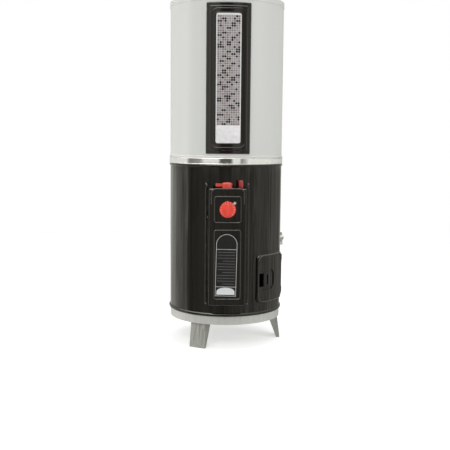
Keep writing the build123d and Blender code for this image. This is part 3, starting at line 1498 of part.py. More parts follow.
pin_head = 3.2
pin_head_height = 1.5
with BuildPart() as door_hinge_pins:
    for level in hinge_levels:
        bottom = level - hinge_barrel_length / 2
        add(rod((hinge_x, hinge_y, bottom - pin_head_height), (0, 0, 1), pin_head, pin_head_height))
        add(rod((hinge_x, hinge_y, bottom - 0.5), (0, 0, 1), hinge_pin_radius, hinge_barrel_length + 1.0))
keep(door_hinge_pins, "door_hinge_pins")

shutter_azimuth = peep_azimuth + shutter_step
tab_width = 3.0
tab_reach = 4.0
tab_end = 9.0  # tab's ends from the shutter's ends
tab_azimuth = shutter_azimuth + degrees(asin((shutter_width / 2 - tab_width) / shutter_low))
with BuildPart() as peep_shutter:
    add(curved_panel(shutter_azimuth, shutter_width, shutter_height, shutter_corner, dish_z, shutter_low,
                     shutter_low + shutter_sheet))
    add(curved_panel(tab_azimuth, tab_width, shutter_height - 2 * tab_end, tab_width / 3, dish_z,
                     shutter_low + shutter_sheet / 2, shutter_low + shutter_sheet + tab_reach))
keep(peep_shutter, "peep_shutter")

# Strip on the upper casing: a stepped black frame with a pale insert
strip_low = band_top + strip_gap_below
strip_middle = strip_low + strip_height / 2
strip_base = casing_radius + fit_gap
strip_outer = casing_radius + strip_reach
strip_first = strip_outer - strip_step
insert_height = strip_height - 2 * insert_margin
insert_corner = 8.0
insert_seat = strip_outer - insert_sheet - 1.0
strip_bevel = 3.0
strip_corner = strip_bevel + 1.0
with BuildPart() as strip_upper:
    add(curved_panel(0, strip_width - 2 * strip_step_inset, strip_height - 2 * strip_step_inset, strip_corner,
                     strip_middle, strip_first - 1, strip_outer))
    chamfer(dome_edges(strip_upper, strip_outer), length=strip_bevel)
with BuildPart() as strip_frame:
    add(curved_panel(0, strip_width, strip_height, strip_corner, strip_middle, strip_base, strip_first))
    chamfer(dome_edges(strip_frame, strip_first), length=strip_bevel)
    add(strip_upper.part)
    add(curved_panel(0, strip_width - 2 * strip_wall, strip_height - 2 * strip_wall, strip_corner - strip_wall,
                     strip_middle, strip_base - 5, strip_first - strip_wall), mode=Mode.SUBTRACT)
    add(curved_panel(0, insert_width + 2 * fit_gap, insert_height + 2 * fit_gap, insert_corner + fit_gap,
                     strip_middle, insert_seat, strip_outer + 5), mode=Mode.SUBTRACT)
keep(strip_frame, "strip_frame")

with BuildPart() as strip_insert:
    add(curved_panel(0, insert_width, insert_height, insert_corner, strip_middle, insert_seat,
                     insert_seat + insert_sheet))
keep(strip_insert, "strip_insert")

# Drain valve on its spud, with a lever on top
drain_seat = tank_radius + spud_reach
drain_tip = casing_radius + drain_reach
drain_body_radius = 12.0
drain_collar = 14.0
drain_collar_start = casing_radius + 4.0
drain_collar_length = 10.0
spout_radius = 10.0
spout_bore = 6.5
spout_bore_end = 8.0  # bore's end below the body's axis
spout_drop = 32.0
spout_reach = drain_tip - 12.0
drain_top = drain_z + 17.0
drain_neck = 8.0
drain_stem_radius = 3.5
drain_stem_depth = 10.0
drain_stem_gap = 2.0  # bore below the stem's end
handle_rise = 2.0
handle_length = 34.0
handle_end = 8.0  # handle behind its stem
handle_width = 11.0
handle_sheet = 4.0
outward = on_circle(drain_azimuth, 1.0) + (0.0,)
with BuildPart() as drain_valve_body:
    for start, radius, length in (
        (tank_radius - tank_wall, spud_male, drain_seat - tank_radius + tank_wall),
        (drain_seat, drain_pipe_radius, drain_collar_start - drain_seat),
        (drain_collar_start, drain_collar, drain_collar_length),
        (drain_collar_start, drain_body_radius, drain_tip - drain_collar_start),
    ):
        x, y = on_circle(drain_azimuth, start)
        add(rod((x, y, drain_z), outward, radius, length))
    fillet(drain_valve_body.faces().sort_by(Axis((0, 0, 0), outward))[-1].edges(), radius=3.0)
    x, y = on_circle(drain_azimuth, spout_reach)
    add(rod((x, y, drain_z), (0, 0, -1), spout_radius, spout_drop))
    add(rod((x, y, drain_z), (0, 0, 1), drain_neck, drain_top - drain_z))
    add(rod((x, y, drain_z - spout_drop - 1), (0, 0, 1), spout_bore, spout_drop + 1 - spout_bore_end),
        mode=Mode.SUBTRACT)
    add(rod((x, y, drain_top + 1), (0, 0, -1), drain_stem_radius + running_gap, drain_stem_depth + drain_stem_gap + 1),
        mode=Mode.SUBTRACT)
keep(drain_valve_body, "drain_valve_body")

with BuildPart() as drain_handle:
    x, y = on_circle(drain_azimuth, spout_reach)
    add(rod((x, y, drain_top - drain_stem_depth), (0, 0, 1), drain_stem_radius, drain_stem_depth + handle_rise))
    with BuildSketch(Plane.XY.offset(drain_top + handle_rise)):
        with Locations(Location((x, y, 0), (0, 0, drain_azimuth))):
            with Locations((handle_length / 2 - handle_end, 0)):
                RectangleRounded(handle_length, handle_width, handle_width / 2 - 0.5)
    extrude(amount=handle_sheet)
    fillet(drain_handle.faces().sort_by(Axis.Z)[-1].edges(), radius=1.2)
keep(drain_handle, "drain_handle")
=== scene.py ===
"""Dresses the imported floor-standing water heater: finishes, small fittings, studio and camera.

Sizes are in millimetres in the heater's own frame: the axis is x = y = 0, the floor is z = 0, and the
control panel faces -Y. An azimuth turns from the front (-Y) towards the right-hand side (+X).
"""

from __future__ import annotations

import logging
import math
import random
from dataclasses import dataclass, field
from enum import Enum
from typing import Sequence

import bmesh
import bpy
from mathutils import Matrix, Vector

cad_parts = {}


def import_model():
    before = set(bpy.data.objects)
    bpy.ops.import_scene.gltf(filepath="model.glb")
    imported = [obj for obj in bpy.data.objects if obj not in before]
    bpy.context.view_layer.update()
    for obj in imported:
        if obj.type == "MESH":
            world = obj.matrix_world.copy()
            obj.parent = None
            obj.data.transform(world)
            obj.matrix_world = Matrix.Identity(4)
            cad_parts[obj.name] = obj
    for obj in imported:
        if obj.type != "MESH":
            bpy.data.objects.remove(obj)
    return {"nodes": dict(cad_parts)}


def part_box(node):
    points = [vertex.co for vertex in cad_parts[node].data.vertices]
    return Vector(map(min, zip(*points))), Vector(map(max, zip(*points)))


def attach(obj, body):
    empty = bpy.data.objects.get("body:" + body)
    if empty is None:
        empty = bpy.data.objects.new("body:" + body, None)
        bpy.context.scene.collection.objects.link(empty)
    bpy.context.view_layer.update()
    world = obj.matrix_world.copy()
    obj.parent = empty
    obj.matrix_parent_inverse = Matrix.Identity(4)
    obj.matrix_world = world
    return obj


LOG = logging.getLogger("heater")
MM = 0.001
SUNK = -0.1  # foot of a printed shape, just inside the face that carries it
SOFT_EDGE, ROUND_EDGE = 35.0, 60.0  # edges flatter than this many degrees are shaded smooth
EVEN = (1.0, 1.0, 1.0)
AXIS = Matrix.Identity(4)

Colour = tuple[float, float, float]
Point = tuple[float, float, float]
Spot = tuple[float, float]
Outline = Sequence[Spot]
Socket = bpy.types.NodeSocket


# The node bench and the finishes


class Bench:
    """Lays out the nodes of one material or world and wires them up."""

    def __init__(self, holder: bpy.types.Material | bpy.types.World) -> None:
        """Starts with an empty tree.

        Args:
            holder: The material or world that takes the nodes.
        """
        self.holder = holder
        holder.use_nodes = True
        self.tree = holder.node_tree
        self.tree.nodes.clear()

    def put(self, kind: str, inputs: dict[str | int, object] | None = None, **settings: object) -> bpy.types.Node:
        """Adds a node.

        Args:
            kind: The node's type name after "ShaderNode".
            inputs: What its sockets take, by name or number: another node's socket, or a constant.
            **settings: Properties of the node.

        Returns:
            The new node.
        """
        node = self.tree.nodes.new("ShaderNode" + kind)
        for key, value in settings.items():
            setattr(node, key, value)
        for key, value in (inputs or {}).items():
            if isinstance(value, Socket):
                self.tree.links.new(value, node.inputs[key])
            else:
                node.inputs[key].default_value = value
        return node

    def place(self, stretch: Point = EVEN) -> Socket:
        """Gives the piece's own coordinates, with features longer along each axis by a factor."""
        where = self.put("TexCoord").outputs["Object"]
        return self.put("Mapping", {"Scale": tuple(1.0 / s for s in stretch), "Vector": where}).outputs["Vector"]

    def noise(self, size: float, stretch: Point = EVEN, detail: float = 2.0, twist: float = 0.0) -> Socket:
        """Gives cloudy variation around 0.5, its features this wide in millimetres before they are stretched."""
        inputs = {"Scale": 1.0 / (size * MM), "Detail": detail, "Distortion": twist, "Vector": self.place(stretch)}
        return self.put("TexNoise", inputs).outputs["Fac"]

    def cells(self, size: float, output: str = "Distance", soft: bool = True) -> Socket:
        """Gives cellular variation, its cells this wide in millimetres: their hollows, or a tint for each."""
        inputs = {"Scale": 1.0 / (size * MM), "Vector": self.place()} | ({"Smoothness": 0.6} if soft else {})
        return self.put("TexVoronoi", inputs, feature="SMOOTH_F1" if soft else "F1").outputs[output]

    def reckon(self, operation: str, *values: Socket | float) -> Socket:
        """Works out a value from others by a named operation."""
        return self.put("Math", dict(enumerate(values)), operation=operation).outputs[0]

    def span(self, value: Socket, low: float, high: float, start: float = 0.3, end: float = 0.7) -> Socket:
        """Brings a value that runs from start to end into the range from low to high."""
        inputs = {"From Min": start, "From Max": end, "To Min": low, "To Max": high, "Value": value}
        return self.put("MapRange", inputs).outputs["Result"]

    def tint(self, value: Socket, stops: Sequence[tuple[float, Colour]]) -> Socket:
        """Turns a value into a colour.

        Args:
            value: The value that varies.
            stops: Places along it and their colours.

        Returns:
            A colour socket.
        """
        node = self.put("ValToRGB", {"Fac": value})
        elements = node.color_ramp.elements
        while len(elements) < len(stops):
            elements.new(0.5)
        for element, (place, colour) in zip(elements, stops):
            element.position = place
            element.color = (*colour, 1.0)
        return node.outputs["Color"]

    def blend(self, share: Socket, first: Socket | float, second: Socket) -> Socket:
        """Mixes two colours, the first of which may be a plain level, by the share of the second."""
        start = (first, first, first, 1.0) if isinstance(first, float) else first
        return self.put("Mix", {"Factor": share, "A": start, "B": second}, data_type="RGBA").outputs["Result"]

    def bump(self, height: Socket, depth: float, over: Socket | None = None) -> Socket:
        """Gives relief of this depth in millimetres, which may lie over another one."""
        inputs = {"Strength": 1.0, "Distance": depth * MM, "Height": height} | ({"Normal": over} if over else {})
        return self.put("Bump", inputs).outputs["Normal"]

    def finish(self, colour: Socket, roughness: Socket, normal: Socket, **constants: float) -> None:
        """Joins the three varying channels to a surface shader and sets the rest.

        Args:
            colour: Base colour.
            roughness: Roughness.
            normal: Relief.
            **constants: Sockets of the surface by name, with underscores for spaces.
        """
        inputs = {"Base Color": colour, "Roughness": roughness, "Normal": normal}
        surface = self.put("BsdfPrincipled", inputs | {key.replace("_", " "): n for key, n in constants.items()})
        self.put("OutputMaterial", {"Surface": surface.outputs["BSDF"]})


@dataclass(frozen=True)
class Finish:
    """What every finish has: its name and its colour."""

    name: str
    colour: Colour

    def shade(self, factor: float) -> Colour:
        """Gives the colour lightened or darkened by a factor."""
        return (self.colour[0] * factor, self.colour[1] * factor, self.colour[2] * factor)

    def lay(self, bench: Bench) -> None:
        """Lays out the finish's nodes on the bench of an empty material."""
        raise NotImplementedError


@dataclass(frozen=True)
class Enamel(Finish):
    """Baked gloss enamel on sheet steel, with orange peel and the sheet's own long waves."""

    roughness: float = 0.07
    peel: float = 0.006
    wave: float = 0.35
    smudge: float = 1.9
    draw: float = 0.0
    cloud: float = 0.06

    def lay(self, bench: Bench) -> None:
        """Lays out the enamel's nodes.

        Args:
            bench: The bench of an empty material.
        """
        cloud = bench.noise(160.0, (1.0, 1.0, 3.0), 3.0)
        colour = bench.tint(cloud, [(0.3, self.shade(1 - self.cloud)), (0.7, self.shade(1 + self.cloud))])
        smear = bench.noise(45.0, (1.0, 1.0, 2.5), 4.0, 0.6)
        roughness = bench.span(smear, self.roughness, self.roughness * self.smudge)
        waves = bench.bump(bench.noise(46.0, (1.0, 1.0, 9.0), 1.0), self.wave)
        if self.draw > 0:
            waves = bench.bump(bench.noise(10.0, (1.0, 1.0, 40.0), 1.5), self.draw, waves)
        peel = bench.bump(bench.noise(2.4, detail=1.0), self.peel, waves)
        bench.finish(colour, roughness, peel, IOR=1.5)


@dataclass(frozen=True)
class HammeredPaint(Finish):
    """Silver-grey paint on the stand, faintly hammered, with runs down the sheet."""

    roughness: float = 0.4
    dimple: float = 0.12
    runs: float = 1.0

    def lay(self, bench: Bench) -> None:
        """Lays out the paint's nodes.

        Args:
            bench: The bench of an empty material.
        """
        cells = bench.cells(4.2)
        streak = bench.noise(11.0, (1.0, 1.0, 16.0), 3.0, 0.4)
        stops = [(0.36, self.shade(1.0 + 0.1 * self.runs)), (0.55, self.colour),
                 (0.78, self.shade(1.0 - 0.3 * self.runs))]
        colour = bench.tint(bench.reckon("MULTIPLY_ADD", cells, 0.16, streak), stops)
        roughness = bench.span(streak, self.roughness * 0.8, self.roughness * 1.3)
        normal = bench.bump(cells, self.dimple, bench.bump(streak, 0.2))
        bench.finish(colour, roughness, normal, Metallic=0.15)


@dataclass(frozen=True)
class Plating(Finish):
    """Bright plated or polished metal, with faint handling marks."""

    roughness: float = 0.08
    ripple: float = 0.05
    brushed: float = 0.0

    def lay(self, bench: Bench) -> None:
        """Lays out the plating's nodes.

        Args:
            bench: The bench of an empty material.
        """
        haze = bench.noise(14.0, detail=5.0, twist=0.8)
        colour = bench.tint(haze, [(0.25, self.shade(0.9)), (0.75, self.colour)])
        roughness = bench.span(haze, self.roughness, self.roughness * 1.8)
        normal = bench.bump(bench.noise(30.0, (1.0, 1.0, 3.0), 1.0), self.ripple)
        if self.brushed > 0:
            normal = bench.bump(bench.noise(1.4, (14.0, 14.0, 1.0), 2.0), self.brushed, normal)
        bench.finish(colour, roughness, normal, Metallic=1.0)


@dataclass(frozen=True)
class Moulding(Finish):
    """Injection-moulded plastic with a fine spark grain."""

    roughness: float = 0.3
    grain: float = 0.02
    sheen: float = 0.0
    flow: float = 0.1

    def lay(self, bench: Bench) -> None:
        """Lays out the plastic's nodes.

        Args:
            bench: The bench of an empty material.
        """
        flow = bench.noise(26.0, detail=3.0, twist=1.2)
        colour = bench.tint(flow, [(0.3, self.shade(0.9)), (0.7, self.shade(1.08))])
        roughness = bench.span(bench.noise(7.0, detail=4.0), self.roughness * 0.85, self.roughness * 1.3)
        normal = bench.bump(bench.noise(0.8, detail=2.0), self.grain, bench.bump(flow, self.flow))
        bench.finish(colour, roughness, normal, IOR=1.49, Coat_Weight=self.sheen, Coat_Roughness=0.08)


@dataclass(frozen=True)
class Casting(Finish):
    """Cast or scaled metal, with grit in its skin and darker patches."""

    metallic: float = 0.9
    roughness: float = 0.5
    grit: float = 0.12
    stain: Colour | None = None

    def lay(self, bench: Bench) -> None:
        """Lays out the metal's nodes.

        Args:
            bench: The bench of an empty material.
        """
        skin = bench.noise(1.6, detail=4.0)
        patch = bench.noise(22.0, detail=5.0, twist=0.5)
        stops = [(0.3, self.stain or self.shade(0.72)), (0.55, self.colour), (0.8, self.shade(1.15))]
        roughness = bench.span(patch, self.roughness * 0.8, min(1.0, self.roughness * 1.25))
        normal = bench.bump(skin, self.grit, bench.bump(patch, 0.1))
        bench.finish(bench.tint(patch, stops), roughness, normal, Metallic=self.metallic)


@dataclass(frozen=True)
class Galvanising(Finish):
    """Hot-dip zinc with its spangle."""

    colour: Colour = (0.56, 0.58, 0.60)
    spangle: float = 9.0

    def lay(self, bench: Bench) -> None:
        """Lays out the zinc's nodes.

        Args:
            bench: The bench of an empty material.
        """
        grey = bench.put("RGBToBW", {"Color": bench.cells(self.spangle, "Color", soft=False)}).outputs["Val"]
        colour = bench.tint(grey, [(0.15, self.shade(0.78)), (0.85, self.shade(1.12))])
        roughness = bench.span(grey, 0.28, 0.5, 0.1, 0.9)
        bench.finish(colour, roughness, bench.bump(bench.noise(5.0, detail=3.0), 0.03), Metallic=1.0)


@dataclass(frozen=True)
class Wool(Finish):
    """Mineral wool, matted fibres with loose tufts."""

    colour: Colour = (0.62, 0.52, 0.28)

    def lay(self, bench: Bench) -> None:
        """Lays out the wool's nodes.

        Args:
            bench: The bench of an empty material.
        """
        tuft = bench.noise(13.0, detail=6.0, twist=1.5)
        fibre = bench.noise(1.2, (5.0, 5.0, 1.0), 3.0, 2.0)
        colour = bench.tint(tuft, [(0.25, self.shade(0.6)), (0.75, self.shade(1.2))])
        normal = bench.bump(fibre, 0.6, bench.bump(tuft, 2.5))
        bench.finish(colour, bench.span(fibre, 0.85, 1.0), normal, Sheen_Weight=0.25)


@dataclass(frozen=True)
class Print(Finish):
    """Screen-printed ink or a painted sheet, matt beside the gloss around it."""

    roughness: float = 0.42

    def lay(self, bench: Bench) -> None:
        """Lays out the ink's nodes.

        Args:
            bench: The bench of an empty material.
        """
        mottle = bench.noise(2.2, detail=5.0)
        colour = bench.tint(mottle, [(0.3, self.shade(0.9)), (0.6, self.colour)])
        roughness = bench.span(mottle, self.roughness * 0.85, self.roughness * 1.2)
        bench.finish(colour, roughness, bench.bump(mottle, 0.012))


class Paint(Enum):
    """The finishes of this heater."""

    BLACK_ENAMEL = Enamel("black_enamel_finish", (0.0072, 0.0060, 0.0040), 0.05, 0.003, 2.2, 1.7, 0.5)
    WHITE_ENAMEL = Enamel("white_enamel_finish", (0.69, 0.70, 0.67), 0.26, 0.003, 0.01, 1.05, 0.02, 0.006)
    # The rolled edges take a lighter grey than the black enamel beside them: a painted highlight along each edge.
    PAINTED_EDGE_HIGHLIGHT = Enamel("edge_enamel_painted_highlight", (0.052, 0.047, 0.042), 0.2, 0.003, 0.2)
    STAND_PAINT = HammeredPaint("stand_paint", (0.60, 0.605, 0.565), runs=0.3)
    LEG_PAINT = HammeredPaint("leg_paint", (0.42, 0.425, 0.385), runs=1.0)
    CHROME = Plating("chrome", (0.95, 0.95, 0.955), 0.012, 0.03)
    ZINC = Plating("zinc_plate", (0.62, 0.61, 0.57), 0.28, 0.02, 0.01)
    NICKEL = Plating("nickel_plate", (0.58, 0.58, 0.565), 0.3, 0.03)
    DULL_SCREW = Plating("dull_screw", (0.20, 0.19, 0.18), 0.42, 0.02)
    LEVER = Plating("lever_plate", (0.58, 0.58, 0.57), 0.22, 0.02, 0.02)
    STRIP_MOULDING = Moulding("strip_moulding", (0.0066, 0.0046, 0.0030), 0.12, 0.001, 0.2, 0.02)
    RED_KNOB = Moulding("red_knob_plastic", (0.90, 0.085, 0.056), 0.16, 0.006, 0.6)
    RED_BUTTON = Moulding("red_button_plastic", (0.42, 0.018, 0.026), 0.2, 0.006, 0.5)
    PALE_PLASTIC = Moulding("pale_pointer_plastic", (0.72, 0.68, 0.60), 0.35, 0.012)
    PALE_INSERT = Moulding("pale_insert_panel", (0.90, 0.895, 0.89), 0.2, 0.003, 0.3)
    HANDLE = Moulding("dark_handle_plastic", (0.035, 0.034, 0.033), 0.45, 0.05)
    DIP_TUBE = Moulding("dip_tube_plastic", (0.72, 0.72, 0.68), 0.5, 0.02)
    HOT_ROSETTE = Moulding("hot_rosette_plastic", (0.55, 0.03, 0.02), 0.35, 0.02)
    COLD_ROSETTE = Moulding("cold_rosette_plastic", (0.02, 0.08, 0.40), 0.35, 0.02)
    PLATE = Print("plate_black_paint", (0.0085, 0.0085, 0.0090), 0.3)
    INK = Print("white_ink", (0.74, 0.74, 0.72))
    FAINT_INK = Print("faint_grey_ink", (0.19, 0.19, 0.185))
    PATCH = Print("pale_patch_paper", (0.80, 0.81, 0.81), 0.5)
    TILE_BED = Print("mosaic_bed", (0.60, 0.58, 0.575), 0.4)
    TILE_BLACK = Print("mosaic_black", (0.008, 0.006, 0.007), 0.3)
    TILE_GREY = Print("mosaic_grey", (0.27, 0.25, 0.245), 0.3)
    TILE_DUSK = Print("mosaic_dusky_red", (0.24, 0.185, 0.185), 0.3)
    TILE_PALE = Print("mosaic_pale", (0.36, 0.325, 0.325), 0.3)
    VALVE = Casting("die_cast_valve", (0.55, 0.56, 0.57), 0.9, 0.42, 0.05)
    SOFT_TUBE = Plating("aluminium_tube", (0.68, 0.68, 0.67), 0.3, 0.02, 0.02)
    COPPER = Plating("copper_line", (0.72, 0.36, 0.22), 0.28, 0.02)
    BRASS = Plating("brass", (0.70, 0.52, 0.26), 0.24, 0.02, 0.01)
    BURNER_IRON = Casting("burner_iron", (0.055, 0.052, 0.050), 0.6, 0.7, 0.3, (0.10, 0.045, 0.025))
    CHAMBER_STEEL = Casting("chamber_steel", (0.42, 0.41, 0.39), 0.95, 0.45, 0.05, (0.24, 0.20, 0.17))
    TANK_STEEL = Casting("tank_steel", (0.10, 0.12, 0.16), 0.3, 0.5, 0.06)
    BAFFLE_STEEL = Casting("baffle_steel", (0.30, 0.29, 0.28), 0.9, 0.5, 0.05, (0.16, 0.10, 0.07))
    GALVANISED = Galvanising("galvanised_sheet")
    NIPPLE = Plating("nipple_zinc", (0.60, 0.60, 0.57), 0.3, 0.02)
    WOOL = Wool("mineral_wool")
    ANODE = Casting("anode_metal", (0.55, 0.55, 0.54), 0.9, 0.55, 0.1)
    # Near-black for the screws' drive recesses: painted shade in the hollows, which are the screw's own metal.
    RECESS_SHADE = Print("screw_recess_painted_shade", (0.02, 0.02, 0.02), 0.6)
    WELD = Casting("weld_bead", (0.42, 0.42, 0.40), 0.8, 0.4, 0.05)


WORN = {
    Paint.TANK_STEEL: "tank_shell tank_top_head tank_bottom_head flue_tube",
    Paint.BAFFLE_STEEL: "flue_baffle",
    Paint.WOOL: "insulation_lower insulation_upper",
    Paint.DIP_TUBE: "dip_tube",
    Paint.ANODE: "anode_rod",
    Paint.CHAMBER_STEEL: "chamber_skirt chamber_front_plate burner_bracket heat_shield base_pan",
    Paint.BURNER_IRON: "burner_head mixer_tube",
    Paint.VALVE: "gas_valve_body",
    Paint.SOFT_TUBE: "manifold_tube pilot_tube",
    Paint.COPPER: "thermocouple",
    Paint.BRASS: "burner_orifice pilot_burner immersion_probe relief_valve_body relief_stem",
    Paint.STAND_PAINT: "base_ring",
    Paint.LEG_PAINT: "leg_front_left leg_right leg_rear_left",
    Paint.ZINC: "leg_bolts door_hinge_pins relief_lever_pin",
    Paint.BLACK_ENAMEL: "lower_casing casing_rim control_cover fire_door door_hinge_brackets peep_shutter",
    Paint.WHITE_ENAMEL: "upper_casing top_cover",
    Paint.CHROME: "chrome_band",
    Paint.DULL_SCREW: "cover_screws",
    Paint.PLATE: "instruction_plate",
    Paint.RED_KNOB: "temperature_dial gas_cock_knob",
    Paint.RED_BUTTON: "pilot_button",
    Paint.PALE_PLASTIC: "dial_pointer",
    Paint.STRIP_MOULDING: "strip_frame",
    Paint.PALE_INSERT: "strip_insert",
    Paint.NIPPLE: "hot_nipple cold_nipple",
    Paint.LEVER: "relief_lever",
    Paint.GALVANISED: "draft_hood draft_hood_legs flue_collar",
    Paint.NICKEL: "drain_valve_body",
    Paint.HANDLE: "drain_handle",
}


# Outlines, places and solid forms


def angles(steps: int) -> list[float]:
    """Gives even angles once round, in radians."""
    return [math.tau * i / steps for i in range(steps)]


def circle(radius: float, steps: int = 20) -> Outline:
    """Gives points round a circle."""
    return [(radius * math.cos(a), radius * math.sin(a)) for a in angles(steps)]


def rounded_box(width: float, height: float, corner: float, steps: int = 5) -> Outline:
    """Gives points round a rectangle with rounded corners.

    Args:
        width: Full width.
        height: Full height.
        corner: Corner radius.
        steps: Points along each corner.

    Returns:
        The outline, anticlockwise.
    """
    outline = []
    for quarter, (sx, sy) in enumerate(((1, 1), (-1, 1), (-1, -1), (1, -1))):
        for i in range(steps):
            a = math.pi / 2 * (quarter + i / (steps - 1))
            outline.append((sx * (width / 2 - corner) + corner * math.cos(a),
                            sy * (height / 2 - corner) + corner * math.sin(a)))
    return outline


def spaced(outline: Outline, runs: int = 12, far: float = 30.0) -> Outline:
    """Adds points along an outline's straight runs, so that it bends evenly.

    Args:
        outline: The outline's points.
        runs: Steps between two of its points that stand far apart.
        far: How far that is.

    Returns:
        The outline with the added points.
    """
    filled = []
    for i, (u, v) in enumerate(outline):
        nu, nv = outline[(i + 1) % len(outline)]
        steps = runs if math.hypot(nu - u, nv - v) > far else 1
        filled += [(u + (nu - u) * j / steps, v + (nv - v) * j / steps) for j in range(steps)]
    return filled


def wrapped(outline: Outline, radius: float, middle: float) -> list[Vector]:
    """Bends a flat outline round the front of the heater, its own middle at a level."""
    return [Vector((u, -math.sqrt(radius * radius - u * u), middle + v)) for u, v in outline]


def arch(width: float, height: float, steps: int = 28) -> Outline:
    """Gives points round a panel with a square foot and a half-round head, centred on its own middle.

    Args:
        width: Full width.
        height: Full height.
        steps: Points along the head.

    Returns:
        The outline, anticlockwise.
    """
    half = width / 2
    head = [(half * math.cos(math.pi * i / steps), height / 2 - half + half * math.sin(math.pi * i / steps))
            for i in range(steps + 1)]
    return head + [(-half, -height / 2), (half, -height / 2)]


def facing(azimuth: float, radius: float, level: float) -> Matrix:
    """Gives the place of something that faces outward: its x runs across, y runs up and z runs out.

    Args:
        azimuth: Where it faces, in degrees from the front.
        radius: Distance from the heater's axis.
        level: Height above the floor.

    Returns:
        The placing matrix, in millimetres.
    """
    a = math.radians(azimuth)
    across, up, out = Vector((math.cos(a), math.sin(a), 0)), Vector((0, 0, 1)), Vector((math.sin(a), -math.cos(a), 0))
    place = Matrix((across, up, out)).transposed().to_4x4()
    place.translation = out * radius + up * level
    return place


def upright(x: float, y: float, level: float) -> Matrix:
    """Gives the place of something that stands on end at a point."""
    return Matrix.Translation((x, y, level))


def around(place: Matrix, level: float, radii: Sequence[float]) -> list[Vector]:
    """Gives a row of points at a level about a place's z, evenly turned, each at its own radius."""
    return [place @ Vector((r * math.cos(a), r * math.sin(a), level)) for r, a in zip(radii, angles(len(radii)))]


def stand(name: str, data: bpy.types.ID) -> bpy.types.Object:
    """Makes an object and links it to the scene.

    Args:
        name: The object's name.
        data: Its mesh, lamp, camera or curve.

    Returns:
        The object.
    """
    piece = bpy.data.objects.new(name, data)
    bpy.context.scene.collection.objects.link(piece)
    return piece


